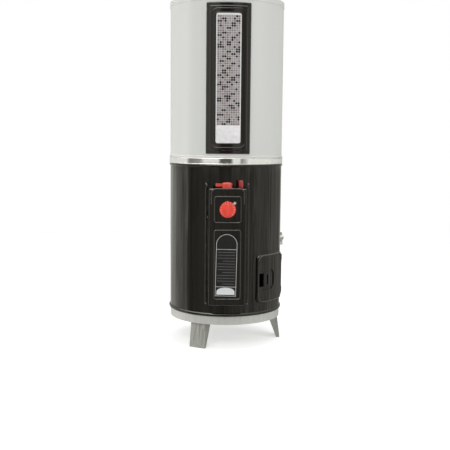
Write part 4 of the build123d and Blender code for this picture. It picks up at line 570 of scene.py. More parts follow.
class Form:
    """A closed mesh that is put together from lofted rows of points, in millimetres."""

    def __init__(self) -> None:
        """Starts with nothing."""
        self.points: list[Vector] = []
        self.faces: list[tuple[int, ...]] = []
        self.tones: list[int] = []

    def loft(self, rows: Sequence[Sequence[Vector]], loop: bool = False, tone: int = 0) -> Form:
        """Joins rows of points into one skin, closed round each row.

        Args:
            rows: The rows, each with the same number of points.
            loop: Whether the last row joins the first; otherwise both ends get a cap.
            tone: Which of the object's materials the faces take.

        Returns:
            The form itself.
        """
        base, width, count = len(self.points), len(rows[0]), len(rows)
        before = len(self.faces)
        for row in rows:
            self.points.extend(row)
        for i in range(count if loop else count - 1):
            low, high = base + i * width, base + (i + 1) % count * width
            for j in range(width):
                k = (j + 1) % width
                self.faces.append((low + j, low + k, high + k, high + j))
        if not loop:
            self.faces.append(tuple(reversed(range(base, base + width))))
            self.faces.append(tuple(range(base + (count - 1) * width, base + count * width)))
        self.tones.extend([tone] * (len(self.faces) - before))
        return self

    def stack(self, place: Matrix, layers: Sequence[tuple[Outline, float]]) -> Form:
        """Lofts flat outlines that lie one above another along a place's z."""
        return self.loft([[place @ Vector((u, v, w)) for u, v in outline] for outline, w in layers])

    def printed(self, place: Matrix, outline: Outline, ink: float) -> Form:
        """Prints a shape on a face whose z is outward, with ink that stands this proud."""
        return self.stack(place, [(outline, SUNK), (outline, ink)])

    def turn(self, place: Matrix, profile: Outline, steps: int) -> Form:
        """Turns a closed profile of radius and height about a place's z."""
        return self.loft([around(place, level, [radius] * steps) for radius, level in profile], loop=True)

    def bead(self, place: Matrix, ring: float, level: float, size: Spot, steps: int, points: int = 12) -> Form:
        """Runs a round bead about a place's z; its size is the radius across and along that axis."""
        section = [(ring + size[0] * math.cos(a), level + size[1] * math.sin(a)) for a in angles(points)]
        return self.turn(place, section, steps)

    def sweep(self, path: Sequence[Vector], radius: float, closed: bool = False, steps: int = 10,
              ripple: Spot = (0.0, 0.0), upright_guide: bool = False) -> Form:
        """Sweeps a round section along a path, turned with the heater's front or with the upright.

        Args:
            path: Points of the path.
            radius: The section's radius.
            closed: Whether the path returns to its start.
            steps: Points round the section.
            ripple: Share by which the radius varies and how often it does.
            upright_guide: Whether the upright turns the section in place of the way out from the axis.

        Returns:
            The form itself.
        """
        rows = []
        last = len(path) - 1
        for i, point in enumerate(path):
            before, after = (i - 1, (i + 1) % len(path)) if closed else (max(i - 1, 0), min(i + 1, last))
            ahead = (path[after] - path[before]).normalized()
            guide = Vector((point.x, point.y, 0.0)).normalized()
            if upright_guide:
                guide = Vector((0.0, 0.0, 1.0)) if abs(ahead.z) < 0.95 else Vector((1.0, 0.0, 0.0))
            side = ahead.cross(guide).normalized()
            size = radius * (1.0 + ripple[0] * math.sin(i / last * ripple[1]))
            rows.append([point + side * (size * math.cos(a)) + side.cross(ahead) * (size * math.sin(a))
                         for a in angles(steps)])
        return self.loft(rows, loop=closed)

    def nut(self, place: Matrix, flats: float, height: float, bore: float) -> Form:
        """Adds a chamfered hexagon nut round a tube.

        Args:
            place: Where its foot is; z runs along the bore.
            flats: Width across the flats.
            height: Its height.
            bore: Radius of its bore.

        Returns:
            The form itself.
        """
        corner, face = flats / math.sqrt(3.0), flats / 2 * 0.98
        reach = [flats / 2 / math.cos((a + math.pi / 6) % (math.pi / 3) - math.pi / 6) for a in angles(36)]
        edges = ((bore, 0.0), (face, 0.0), (corner, 0.12), (corner, 0.88), (face, 1.0), (bore, 1.0))
        return self.loft([around(place, share * height, [min(flat, limit) for flat in reach])
                          for limit, share in edges], loop=True)

    def thread(self, place: Matrix, radius: float, length: float, pitch: float) -> Form:
        """Adds a helical male thread as a sleeve that stands just proud of its pipe.

        Args:
            place: Where the thread starts; z runs along it.
            radius: The pipe's radius.
            length: The thread's length.
            pitch: Distance from one turn to the next.

        Returns:
            The form itself.
        """
        steps, count, proud, crest, wall = 40, int(length / pitch * 6), 0.04, 0.42, 1.0
        rows = []
        for i in range(count + 1):
            height = length * i / count
            fade = min(1.0, height / pitch, (length - height) / pitch)
            phases = [(height / pitch + j / steps) % 1.0 for j in range(steps)]
            rows.append(around(place, height, [radius + proud + crest * fade * (1.0 - abs(2.0 * phase - 1.0))
                                               for phase in phases]))
        return self.loft(rows + [around(place, height, [radius - wall] * steps) for height in (length, 0.0)],
                         loop=True)

    def build(self, name: str, materials: Sequence[bpy.types.Material], smooth: float) -> bpy.types.Object:
        """Makes the Blender object.

        Args:
            name: The piece's name.
            materials: Its materials, in the order of the tones.
            smooth: Edges flatter than this many degrees are shaded smooth.

        Returns:
            The object, in metres and linked to the scene.
        """
        mesh = bpy.data.meshes.new(name)
        mesh.from_pydata([p * MM for p in self.points], [], self.faces)
        for material in materials:
            mesh.materials.append(material)
        mesh.polygons.foreach_set("material_index", self.tones)
        work = bmesh.new()
        work.from_mesh(mesh)
        bmesh.ops.recalc_face_normals(work, faces=work.faces)
        limit = math.radians(smooth)
        for edge in work.edges:
            edge.smooth = len(edge.link_faces) == 2 and edge.calc_face_angle(0.0) < limit
        for face in work.faces:
            face.smooth = True
        work.to_mesh(mesh)
        work.free()
        return stand(name, mesh)


class Drive(Enum):
    """How a screw is driven."""

    CROSS = "cross"
    SLOT = "slot"
    PLAIN = "plain"


@dataclass(frozen=True)
class Head:
    """A domed screw or rivet head."""

    radius: float
    height: float
    drive: Drive = Drive.PLAIN

    def add(self, form: Form, recess: Form, place: Matrix) -> None:
        """Adds the head, with the painted shade of its recess in a form of its own.

        Args:
            form: Takes the head.
            recess: Takes the recess's painted shade.
            place: Where the head sits; z is outward.
        """
        rim, foot = circle(self.radius), 0.25
        layers = [(rim, -0.3), (rim, foot * self.height)]
        for share in (0.35, 0.6, 0.8):
            layers.append((circle(self.radius * math.cos(share * 1.35)),
                           self.height * (foot + (1.0 - foot) * math.sin(share * 1.6))))
        form.stack(place, layers)
        top, long, short = layers[-1][1], 0.95 * self.radius, 0.26 * self.radius
        arms = {Drive.PLAIN: (), Drive.SLOT: ((long, short),), Drive.CROSS: ((long, short), (short, long))}
        for size in arms[self.drive]:
            arm = rounded_box(*size, 0.1 * self.radius, 3)
            # Each recess is a dark solid standing in the drive's hollow: painted shade, not a cut.
            recess.stack(place, [(arm, top - 0.4), (arm, top + 0.04)])


# The frame that everything is fitted to


@dataclass
class Frame:
    """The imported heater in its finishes, with one material for each."""

    made: dict[Paint, bpy.types.Material] = field(default_factory=dict)

    def load(self) -> None:
        """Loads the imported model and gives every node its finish."""
        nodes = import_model()["nodes"]
        for paint, names in WORN.items():
            for name in names.split():
                for slot in nodes[name].material_slots:
                    slot.material = self.take(paint)

    def take(self, paint: Paint) -> bpy.types.Material:
        """Gives the material of a finish, made on first use.

        Args:
            paint: The finish.

        Returns:
            The material.
        """
        if paint not in self.made:
            self.made[paint] = bpy.data.materials.new(paint.value.name)
            paint.value.lay(Bench(self.made[paint]))
        return self.made[paint]


# The sub-assemblies


@dataclass
class Assembly:
    """A sub-assembly: the small pieces that it adds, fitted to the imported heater."""

    frame: Frame

    def build(self) -> None:
        """Adds the sub-assembly's pieces."""
        raise NotImplementedError

    def box(self, node: str) -> tuple[Vector, Vector]:
        """Gives a node's lowest and highest corners in millimetres."""
        low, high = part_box(node)
        return low / MM, high / MM

    def mount(self, piece: bpy.types.Object, slot: str, body: str) -> None:
        """Lets a piece ride on a body.

        Args:
            piece: The piece.
            slot: The record's material slot that its finish belongs to; not used.
            body: The body that it rides on.
        """
        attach(piece, body)
        LOG.info("piece %s on %s, %d faces", piece.name, body, len(piece.data.polygons))

    def fit(self, form: Form, name: str, paints: Paint | Sequence[Paint], slot: str, body: str = "root",
            smooth: float = SOFT_EDGE) -> None:
        """Builds a piece with one finish or one for each tone, and lets it ride on a body."""
        listed = [paints] if isinstance(paints, Paint) else paints
        self.mount(form.build(name, [self.frame.take(paint) for paint in listed], smooth), slot, body)

    def fasten(self, head: Head, places: Sequence[Matrix], name: str, paint: Paint, slot: str,
               recess: tuple[str, str] = ("", ""), body: str = "root", form: Form | None = None) -> None:
        """Adds heads at places as one piece, with the painted shade of their recesses as another.

        Args:
            head: The head.
            places: Where the heads sit.
            name: The heads' name.
            paint: Their finish.
            slot: Their material slot.
            recess: Name and slot of the recesses' painted shade.
            body: The body that they ride on.
            form: What the heads are added to.
        """
        heads, hollows = form or Form(), Form()
        for place in places:
            head.add(heads, hollows, place)
        self.fit(heads, name, paint, slot, body, ROUND_EDGE if head.drive is Drive.PLAIN else SOFT_EDGE)
        # The recesses take a near-black finish: painted shade in the drive hollows.
        if hollows.faces:
            self.fit(hollows, recess[0], Paint.RECESS_SHADE, recess[1], body)


@dataclass
class Chamber(Assembly):
    """The burner in its chamber."""

    screw_circle: float = 45.0
    screw: Head = Head(3.4, 2.0, Drive.SLOT)

    def build(self) -> None:
        """Adds the burner's screws."""
        _, high = self.box("burner_head")
        places = [upright(self.screw_circle * math.cos(a), self.screw_circle * math.sin(a), high.z) for a in angles(6)]
        self.fasten(self.screw, places, "burner_screws", Paint.BURNER_IRON, "burner_iron",
                    ("burner_screw_slot_shade", "burner_iron"))


@dataclass
class GasTrain(Assembly):
    """The gas valve and the tubes that hang from it."""

    nuts: tuple[tuple[float, ...], ...] = (
        (0.0, -250.0, 22.0, 13.0, 6.4), (24.0, -244.0, 11.0, 9.0, 3.05), (44.0, -244.0, 8.0, 8.0, 1.65))
    screw_sides: Spot = (-36.0, 60.0)
    screw_edges: Spot = (10.0, 18.0)
    screw: Head = Head(4.0, 2.4, Drive.CROSS)

    def build(self) -> None:
        """Adds the nuts that hold the three tubes and the screws at the corners of the valve's front."""
        low, high = self.box("gas_valve_body")
        form = Form()
        for x, y, flats, height, bore in self.nuts:
            form.nut(upright(x, y, low.z - height), flats, height, bore)
        self.fit(form, "union_nuts", Paint.BRASS, "brass_fitting")
        levels = (low.z + self.screw_edges[0], high.z - self.screw_edges[1])
        places = [facing(0.0, -low.y, level) @ upright(x, 0, 0) for x in self.screw_sides for level in levels]
        self.fasten(self.screw, places, "valve_screws", Paint.ZINC, "zinc_hardware",
                    ("valve_screw_recess_shade", "zinc_hardware"))


@dataclass
class Stand(Assembly):
    """The base ring on its three legs."""

    seam_radius: float = 1.6
    seam_ripple: Spot = (0.16, 120.0)
    seam_sunk: float = 0.6
    seam_end: float = 1.0
    edge_radius: float = 1.1
    edge_level: float = 1.2

    def build(self) -> None:
        """Adds the rippled weld down the ring's rear and the rolled wire edge along its lower rim."""
        low, high = self.box("base_ring")
        foot, length = low.z + self.seam_end, high.z - low.z - 2 * self.seam_end
        path = [Vector((0.0, high.y - self.seam_sunk, foot + length * i / 60)) for i in range(61)]
        weld = Form().sweep(path, self.seam_radius, ripple=self.seam_ripple, upright_guide=True)
        self.fit(weld, "ring_weld", Paint.WELD, "grey_paint")
        size = (self.edge_radius, self.edge_radius)
        edge = Form().bead(AXIS, high.x - self.edge_radius, low.z + self.edge_level, size, 160)
        self.fit(edge, "ring_rolled_edge", Paint.STAND_PAINT, "grey_paint")


@dataclass
class Casings(Assembly):
    """The two sheet casings, the band between them and the lid."""

    rivet_circle: float = 241.0
    rivet_pitch: float = 74.0
    rivet_ends: Spot = (45.0, 40.0)
    rivet: Head = Head(3.0, 1.5)
    hem: float = 1.0
    hem_sunk: float = 0.55
    clasp_width: float = 34.0
    clasp_height: float = 19.0
    clasp_margin: float = 5.0
    clasp_corner: float = 3.0
    clasp_turn: float = 2.3
    clasp_layers: Outline = ((0.0, -0.6), (0.0, 0.7), (0.6, 1.1))
    clasp_screw: Head = Head(3.2, 1.7, Drive.CROSS)
    lid_screw: Head = Head(3.6, 2.0, Drive.CROSS)
    lid_screw_count: int = 8
    lid_screw_level: float = 11.0

    def build(self) -> None:
        """Adds rivets, hems, clasp and lid screws."""
        self.rivet_seams("lower", Paint.BLACK_ENAMEL, "black_enamel")
        self.rivet_seams("upper", Paint.WHITE_ENAMEL, "white_enamel")
        self.close_band()
        low, high = self.box("top_cover")
        places = [facing(360.0 / self.lid_screw_count * (i + 0.5), high.x, low.z + self.lid_screw_level)
                  for i in range(self.lid_screw_count)]
        self.fasten(self.lid_screw, places, "lid_screws", Paint.ZINC, "zinc_hardware",
                    ("lid_screw_recess_shade", "zinc_hardware"))

    def rivet_seams(self, casing: str, paint: Paint, slot: str) -> None:
        """Adds the rivets down one casing's rear seam.

        Args:
            casing: Which casing.
            paint: Its finish.
            slot: Its material slot.
        """
        low, high = self.box(f"{casing}_casing")
        places, level = [], low.z + self.rivet_ends[0]
        while level < high.z - self.rivet_ends[1]:
            places.append(facing(180.0, self.rivet_circle, level))
            level += self.rivet_pitch
        self.fasten(self.rivet, places, f"{casing}_seam_rivets", paint, slot)

    def close_band(self) -> None:
        """Adds the rolled hems along the chrome band's edges and the clasp that closes it at the rear."""
        low, high = self.box("chrome_band")
        form = Form()
        for level in (low.z + self.hem, high.z - self.hem):
            form.bead(AXIS, high.x - self.hem_sunk, level, (self.hem, self.hem), 180)
        self.fit(form, "band_hems", Paint.CHROME, "chrome_trim", smooth=ROUND_EDGE)
        middle = (low.z + high.z) / 2
        outline = rounded_box(self.clasp_width, high.z - low.z - self.clasp_margin, self.clasp_corner)
        rows = []
        for inset, lift in self.clasp_layers:
            across, up = 1 - inset * 2 / self.clasp_width, 1 - inset * 2 / self.clasp_height
            row = wrapped([(u * across, v * up) for u, v in outline], high.x + lift, middle)
            rows.append([Vector((-point.x, -point.y, point.z)) for point in row])
        places = [facing(180.0 + side * self.clasp_turn, high.x + 1.0, middle) for side in (-1, 1)]
        self.fasten(self.clasp_screw, places, "band_clasp", Paint.CHROME, "chrome_trim",
                    ("band_clasp_recess_shade", "zinc_hardware"), form=Form().loft(rows))


@dataclass
class ControlCover(Assembly):
    """The pressed cover on the front and the plate of instructions."""

    foot_edge: tuple[float, ...] = (87.3, 196.0, 664.0, 17.0)
    foot_circle: float = 241.9
    roll: float = 2.3
    shoulder_edge: tuple[float, ...] = (131.0, 62.0, 668.0, 18.0)
    face_edges: tuple[tuple[float, ...], ...] = ((105.4, 533.9, 637.1, 8.0), (105.4, 223.9, 503.1, 8.0))
    plate_width: float = 90.0
    plate_height: float = 257.0
    plate_shift: float = -4.0
    plate_tilt: float = 1.1
    border: float = 3.2
    line: float = 1.5
    dividers: Spot = (61.0, 38.0)
    ink: float = 0.14
    rule_rows: int = 12
    rule_margin: float = 13.0
    rule_short: float = 34.0
    patch_inset: float = 5.5
    patch_foot: float = 6.0
    patch_wall: float = 12.0
    patch_sag: float = 17.0
    patch_proud: float = 0.06

    def build(self) -> None:
        """Rolls the cover's edges and prints the plate."""
        self.roll_edges()
        self.print_plate()

    def roll_edges(self) -> None:
        """Adds the rolled edges along the cover's foot, its window, its label field and its shoulder, in a lighter grey
        that paints a highlight along them.
        """
        low, _ = self.box("control_cover")
        foot, face = Form(), Form()
        half, bottom, top, bend = self.foot_edge
        side = [(half, bottom + (top - bottom) * i / 12) for i in range(13)]
        side += [(half - bend + bend * math.cos(a), top + bend * math.sin(a))
                 for a in (math.radians(8.0 * i) for i in range(1, 8))]
        for hand in (-1, 1):
            foot.sweep(wrapped([(hand * u, v) for u, v in side], self.foot_circle, 0.0), self.roll)
        for width, bottom, top, corner in self.face_edges:
            edge = rounded_box(width, top - bottom, corner, 7)
            face.sweep([Vector((u, low.y, (bottom + top) / 2 + v)) for u, v in edge], self.roll, closed=True)
        width, reach, top, corner = self.shoulder_edge
        brow = [point for point in rounded_box(width, 2 * reach, corner, 9) if point[1] > reach - corner - 1.0]
        brow = [(width / 2, 0.0), *brow, (-width / 2, 0.0)]
        face.sweep([Vector((u, low.y, top - reach + v)) for u, v in brow], self.roll)
        # The rolls' lighter grey is a painted highlight on the black cover.
        for form, name in ((foot, "cover_foot_roll_painted_highlight"), (face, "cover_face_rolls_painted_highlight")):
            self.fit(form, name, Paint.PAINTED_EDGE_HIGHLIGHT, "black_enamel", smooth=ROUND_EDGE)

    def plate_place(self) -> Matrix:
        """Gives the middle of the plate's face.

        Returns:
            The placing matrix; x runs across, y up and z out.
        """
        low, _ = self.box("instruction_plate")
        tilt = math.radians(self.plate_tilt)
        middle = low.z + self.plate_height / 2 * math.cos(tilt) + self.plate_width / 2 * math.sin(tilt)
        return facing(0.0, -low.y, middle) @ upright(self.plate_shift, 0, 0) @ Matrix.Rotation(-tilt, 4, "Z")

    def inner(self, outline: Outline) -> Outline:
        """Sets an outline in by the width of the printed line.

        Args:
            outline: The line's outer edge.

        Returns:
            Its inner edge.
        """
        points = [Vector(spot) for spot in outline]
        inner = []
        for i, point in enumerate(points):
            back, ahead = (point - points[i - 1]).normalized(), (points[(i + 1) % len(points)] - point).normalized()
            turn = (back + ahead).normalized()
            spread = self.line / max(0.5, math.sqrt((1.0 + back.dot(ahead)) / 2.0))
            inner.append((outline[i][0] - turn.y * spread, outline[i][1] + turn.x * spread))
        return inner

    def bar(self, form: Form, place: Matrix, middle: Spot, width: float) -> None:
        """Adds a printed bar of the line's height about a middle on the plate's face."""
        outline = rounded_box(width, self.line, min(width, self.line) * 0.4, 3)
        form.printed(place, [(middle[0] + u, middle[1] + v) for u, v in outline], self.ink)

    def print_plate(self) -> None:
        """Prints the border, the dividing lines, the ruled lines and the pale patch."""
        place = self.plate_place()
        width, height = self.plate_width - 2 * self.border, self.plate_height - 2 * self.border
        lines, rules = Form(), Form()
        outer = arch(width, height)
        inner = self.inner(outer)
        lines.loft([[place @ Vector((u, v, level)) for u, v in edge]
                    for edge, level in ((outer, SUNK), (outer, self.ink), (inner, self.ink), (inner, SUNK))], loop=True)
        upper, lower = height / 2 - self.dividers[0], -height / 2 + self.dividers[1]
        for level in (upper, lower):
            self.bar(lines, place, (0.0, level), width - 2 * self.line)
        self.fit(lines, "plate_border", Paint.INK, "plate_black")
        step, full = (upper - lower) / (self.rule_rows + 1), width - self.rule_margin
        for i in range(self.rule_rows):
            reach = full if i % 4 != 3 else width - self.rule_short
            self.bar(rules, place, ((full - reach) / 2, upper - step * (i + 1)), reach)
        self.fit(rules, "plate_rules", Paint.FAINT_INK, "plate_black")
        half, foot = width / 2 - self.patch_inset, -height / 2 + self.patch_foot
        wall, sag = foot + self.patch_wall, self.patch_sag
        dome = [(-half, foot), (half, foot), (half, wall)]
        dome += [(half * math.cos(a), wall + sag * math.sin(a)) for a in (math.pi * i / 22 for i in range(1, 22))]
        patch = Form().printed(place, dome + [(-half, wall)], self.ink + self.patch_proud)
        self.fit(patch, "plate_patch", Paint.PATCH, "plate_black")


@dataclass
class Controls(Assembly):
    """The temperature dial, the gas cock and the pilot button."""

    face_depth: float = 12.0
    mark_ring: float = 26.6
    notch_ring: float = 28.6
    digits: int = 7
    digit_size: float = 7.4
    sweep: float = 270.0
    ink: float = 0.12
    deep_ink: float = 0.14
    tick: Point = (4.6, 1.1, 0.4)
    tick_inset: float = 0.4
    notch: Point = (2.0, 6.5, 0.9)
    beads: Outline = ((31.0, 1.0), (21.0, 0.7))
    cock_reach: float = 20.5
    cock_bead: float = 17.6
    index: Point = (20.0, 2.4, 1.0)
    index_shift: float = -5.0
    ridge_ring: float = 9.4
    ridge_size: Spot = (0.5, 0.7)
    ridge_pitch: float = 3.2
    ridge_from: float = 6.0
    ridge_count: int = 4

    def build(self) -> None:
        """Marks the dial and adds the three knobs' beads and ridges."""
        low, high = self.box("temperature_dial")
        middle, reach = (low.x + high.x) / 2, (high.x - low.x) / 2
        place = facing(0.0, -low.y - self.face_depth, low.z + reach) @ upright(middle, 0, 0)
        self.mark_dial(place)
        form = Form()
        for ring, tube in self.beads:
            form.bead(place, ring, 0.0, (tube, tube), 72)
        self.fit(form, "dial_beads", Paint.RED_KNOB, "red_plastic", "temperature_dial", ROUND_EDGE)
        low, high = self.box("gas_cock_knob")
        place = upright(high.x - self.cock_reach, (low.y + high.y) / 2, high.z)
        form = Form().bead(place, self.cock_bead, 0.0, (1.0, 1.0), 56)
        self.fit(form, "cock_bead", Paint.RED_KNOB, "red_plastic", "gas_cock", ROUND_EDGE)
        mark = Form().printed(place @ upright(self.index_shift, 0, 0), rounded_box(*self.index, 4), self.deep_ink)
        self.fit(mark, "cock_index", Paint.INK, "pale_plastic", "gas_cock")
        low, high = self.box("pilot_button")
        place = upright((low.x + high.x) / 2, (low.y + high.y) / 2, 0.0)
        form = Form()
        for i in range(self.ridge_count):
            form.bead(place, self.ridge_ring, high.z - self.ridge_from - self.ridge_pitch * i, self.ridge_size, 40, 8)
        self.fit(form, "button_ridges", Paint.RED_BUTTON, "red_plastic", "pilot_button", ROUND_EDGE)

    def mark_dial(self, place: Matrix) -> None:
        """Prints ticks and plain figures round the dial, with a notch in place of the middle figure.

        Args:
            place: The middle of the dial's face; x runs across, y up and z out.
        """

        def spoke(half_step: int, ring: float) -> Matrix:
            """Gives a place on the ring of marks, counted in half steps from the first figure."""
            turn = math.radians(90.0 + self.sweep / 2 - self.sweep * half_step / (self.digits * 2 - 2))
            return place @ Matrix.Rotation(turn, 4, "Z") @ upright(ring, 0, 0)

        ticks = Form()
        for i in range(1, self.digits * 2 - 1, 2):
            ticks.printed(spoke(i, self.mark_ring - self.tick_inset), rounded_box(*self.tick, 3), self.ink)
        ticks.printed(place @ upright(0, self.notch_ring, 0), rounded_box(*self.notch, 4), self.deep_ink)
        self.fit(ticks, "dial_ticks", Paint.INK, "pale_plastic", "temperature_dial")
        for i in range(self.digits):
            if 2 * i != self.digits - 1:
                self.figure(str(i + 1), spoke(2 * i, self.mark_ring) @ Matrix.Rotation(math.radians(-90.0), 4, "Z"))

    def figure(self, digit: str, place: Matrix) -> None:
        """Adds one printed figure.

        Args:
            digit: The figure.
            place: Its middle; y runs up and z out.
        """
        name = f"dial_figure_{digit}"
        curve = bpy.data.curves.new(name, "FONT")
        curve.body, curve.size, curve.extrude, curve.resolution_u = digit, self.digit_size, self.ink, 3
        curve.align_x, curve.align_y = "CENTER", "CENTER"
        helper = stand("figure_helper", curve)
        bpy.context.view_layer.update()
        mesh = bpy.data.meshes.new_from_object(helper)
        bpy.data.objects.remove(helper)
        mesh.transform(Matrix.Scale(MM, 4) @ place)
        work = bmesh.new()
        work.from_mesh(mesh)
        bmesh.ops.remove_doubles(work, verts=work.verts, dist=1e-6)
        work.to_mesh(mesh)
        work.free()
        mesh.materials.clear()
        mesh.materials.append(self.frame.take(Paint.INK))
        self.mount(stand(name, mesh), "pale_plastic", "temperature_dial")


@dataclass
class FireDoor(Assembly):
    """The door to the burner and its hinges."""

    azimuth: float = 52.0
    hinge_azimuth: float = 79.5
    leaf: float = 3.1
    bracket_ends: Spot = (6.5, -6.5)
    knuckle_ends: Spot = (19.5, 6.5)
    rivet_circle: float = 242.1
    rivet: Head = Head(2.1, 1.2)
    shoulder: tuple[float, ...] = (172.0, 194.0, 27.0)
    shoulder_circle: float = 250.4
    shoulder_roll: float = 2.0

    def build(self) -> None:
        """Adds the rivets of the hinge leaves and rolls the cushion's shoulder in a lighter grey that paints a
        highlight along it.
        """
        low, high = self.box("door_hinge_brackets")
        for (foot, top), azimuth, name, body in (
            (self.bracket_ends, self.hinge_azimuth + self.leaf, "bracket_rivets", "root"),
            (self.knuckle_ends, self.hinge_azimuth - self.leaf, "knuckle_rivets", "fire_door"),
        ):
            places = [facing(azimuth, self.rivet_circle, level) for level in (low.z + foot, high.z + top)]
            self.fasten(self.rivet, places, name, Paint.BLACK_ENAMEL, "black_enamel", body=body)
        low, high = self.box("fire_door")
        turned = Matrix.Rotation(math.radians(self.azimuth), 3, "Z")
        path = wrapped(spaced(rounded_box(*self.shoulder, 7)), self.shoulder_circle, (low.z + high.z) / 2)
        form = Form().sweep([turned @ point for point in path], self.shoulder_roll, closed=True)
        # The shoulder's lighter grey is a painted highlight round the door's cushion.
        self.fit(form, "door_shoulder_painted_highlight", Paint.PAINTED_EDGE_HIGHLIGHT, "black_enamel", "fire_door", ROUND_EDGE)


class Tile(Enum):
    """The colours of the mosaic's tiles, in the order of the piece's materials."""

    PALE = 0
    GREY = 1
    DUSK = 2
    BLACK = 3


@dataclass
class DecorStrip(Assembly):
    """The black frame on the upper casing with its pale insert and the mosaic on it."""

    columns: int = 10
    pitch: float = 9.15
    tile: float = 7.7
    corner: float = 2.0
    black_extra: Spot = (1.1, 1.6)
    tile_layers: Outline = ((0.0, -0.2), (0.0, 0.16), (0.5, 0.3), (1.6, 0.36))
    bare_foot: float = 71.0
    margin: float = 7.0
    bed_over: Point = (0.6, 1.0, -3.4)
    bed_lifts: Spot = (-0.2, 0.08)
    black_chance: Spot = (0.1, 0.86)
    dusk_chance: float = 0.55
    grey_chance: float = 0.35
    seed: int = 41
    insert_corner: float = 6.0
    ridge_circle: float = 249.6
    ridges: Outline = ((2.4, 1.5), (18.0, 2.0))

    def build(self) -> None:
        """Lays the mosaic on its bed and raises the frame's ridges."""
        low, high = self.box("strip_insert")
        self.lay_bed(low, high)
        self.lay_tiles(low, high)
        width, height = high.x - low.x, high.z - low.z
        form = Form()
        for spread, radius in self.ridges:
            outline = rounded_box(width + 2 * spread, height + 2 * spread, self.insert_corner + spread, 7)
            form.sweep(wrapped(spaced(outline), self.ridge_circle, (low.z + high.z) / 2), radius, closed=True)
        self.fit(form, "strip_ridges", Paint.STRIP_MOULDING, "black_moulding", smooth=ROUND_EDGE)

    def lay_bed(self, low: Vector, high: Vector) -> None:
        """Lays the tinted film that the tiles stand on.

        Args:
            low: The insert's lowest corner.
            high: Its highest corner.
        """
        below, above, aside = self.bed_over
        foot, top, wide = low.z + self.bare_foot - below, high.z - self.margin + above, high.x + aside
        under, over = self.bed_lifts
        section = ((under, foot), (over, foot), (over, top), (under, top))
        rows = [[wrapped([(-wide + 2 * wide * i / 24, level)], lift - low.y, 0.0)[0] for lift, level in section]
                for i in range(25)]
        self.fit(Form().loft(rows), "mosaic_bed", Paint.TILE_BED, "pale_insert")

    def pick(self, dice: random.Random, column: int, row: int) -> Tile:
        """Chooses the colour of one tile: a repeating ground with black tiles scattered in short runs.

        Args:
            dice: The seeded source of chance.
            column: The tile's column.
            row: Its row.

        Returns:
            The colour.
        """
        run = math.sin((column // 2) * 2.7 + row * 1.9) + math.sin((column // 2) * 1.3 - row * 1.1)
        if dice.random() < self.black_chance[run > 0.8]:
            return Tile.BLACK
        warm = 0.5 + 0.45 * math.sin(column * 0.55 + row * 0.07 - 1.6)
        if dice.random() < warm * self.dusk_chance:
            return Tile.DUSK
        return Tile.GREY if dice.random() < self.grey_chance else Tile.PALE

    def lay_tiles(self, low: Vector, high: Vector) -> None:
        """Lays the rounded tiles over the insert's curve.

        Args:
            low: The insert's lowest corner.
            high: Its highest corner.
        """
        dice, form, foot = random.Random(self.seed), Form(), low.z + self.bare_foot
        for row in range(int((high.z - self.margin - foot) / self.pitch)):
            for column in range(self.columns):
                across, level = (column - (self.columns - 1) / 2) * self.pitch, foot + (row + 0.5) * self.pitch
                tone = self.pick(dice, column, row)
                wider, rounder = self.black_extra if tone is Tile.BLACK else (0.0, 0.0)
                layers = []
                for shrink, lift in self.tile_layers:
                    size = self.tile + wider - shrink
                    outline = rounded_box(size, size, max(0.4, self.corner + rounder - shrink / 2), 4)
                    layers.append(wrapped([(across + u, v) for u, v in outline], lift - low.y, level))
                form.loft(layers, tone=tone.value)
        self.fit(form, "mosaic_tiles", (Paint.TILE_PALE, Paint.TILE_GREY, Paint.TILE_DUSK, Paint.TILE_BLACK),
                 "pale_insert", smooth=50.0)


@dataclass
class Crown(Assembly):
    """The water fittings and the draft hood on top of the lid."""

    thread_length: float = 24.0
    thread_pitch: float = 1.8
    thread_radius: float = 13.2
    thread_end: float = 0.5
    fitting_circle: float = 128.0
    rosette: Outline = ((16.2, 0.0), (24.0, 0.0), (24.0, 1.2), (22.8, 2.2), (17.4, 3.6), (16.2, 3.4))
    rivet: Head = Head(2.6, 1.4)
    rivet_circles: Spot = (97.8, 107.0)
    rivet_levels: Spot = (-6.0, 1.5)
    outlet: float = 55.0
    seam: float = 1.8
    seam_ends: Spot = (1.0, -1.0)
    cone: Spot = (14.0, 60.0)
    bead_level: float = -14.0
    bead_proud: float = 1.6

    def build(self) -> None:
        """Adds threads, rosettes, rivets and seams."""
        form = Form()
        for node, side in (("hot_nipple", -1), ("cold_nipple", 1)):
            foot = self.box(node)[1].z - self.thread_length - self.thread_end
            form.thread(upright(side * self.fitting_circle, 0.0, foot), self.thread_radius, self.thread_length,
                        self.thread_pitch)
        self.fit(form, "nipple_threads", Paint.NIPPLE, "steel_nipple")
        _, high = self.box("top_cover")
        for side, name, paint in ((-1, "hot_rosette", Paint.HOT_ROSETTE), (1, "cold_rosette", Paint.COLD_ROSETTE)):
            form = Form().turn(upright(side * self.fitting_circle, 0.0, high.z), self.rosette, 56)
            self.fit(form, name, paint, "dip_plastic")
        low, high = self.box("draft_hood_legs")
        upper, lower = self.rivet_circles
        places = []
        for azimuth in (45.0, 135.0, 225.0, 315.0):
            a = math.radians(azimuth)
            places += [facing(azimuth, upper, high.z + self.rivet_levels[0]),
                       upright(lower * math.sin(a), -lower * math.cos(a), low.z + self.rivet_levels[1])]
        self.fasten(self.rivet, places, "hood_rivets", Paint.ZINC, "zinc_hardware")
        self.seam_hood()

    def seam_hood(self) -> None:
        """Adds the grooved lock seam down the hood's rear and the bead round its outlet."""
        low, high = self.box("draft_hood")
        (foot, top), (start, end) = self.seam_ends, self.cone
        path = [Vector((0.0, y, z)) for y, z in ((high.x, low.z + foot), (high.x, low.z + start),
                                                 (self.outlet, low.z + end), (self.outlet, high.z + top))]
        form = Form().sweep(path, self.seam, steps=8, upright_guide=True)
        form.bead(AXIS, self.outlet, high.z + self.bead_level, (self.bead_proud, self.seam), 90)
        self.fit(form, "hood_seam", Paint.GALVANISED, "galvanised", smooth=ROUND_EDGE)


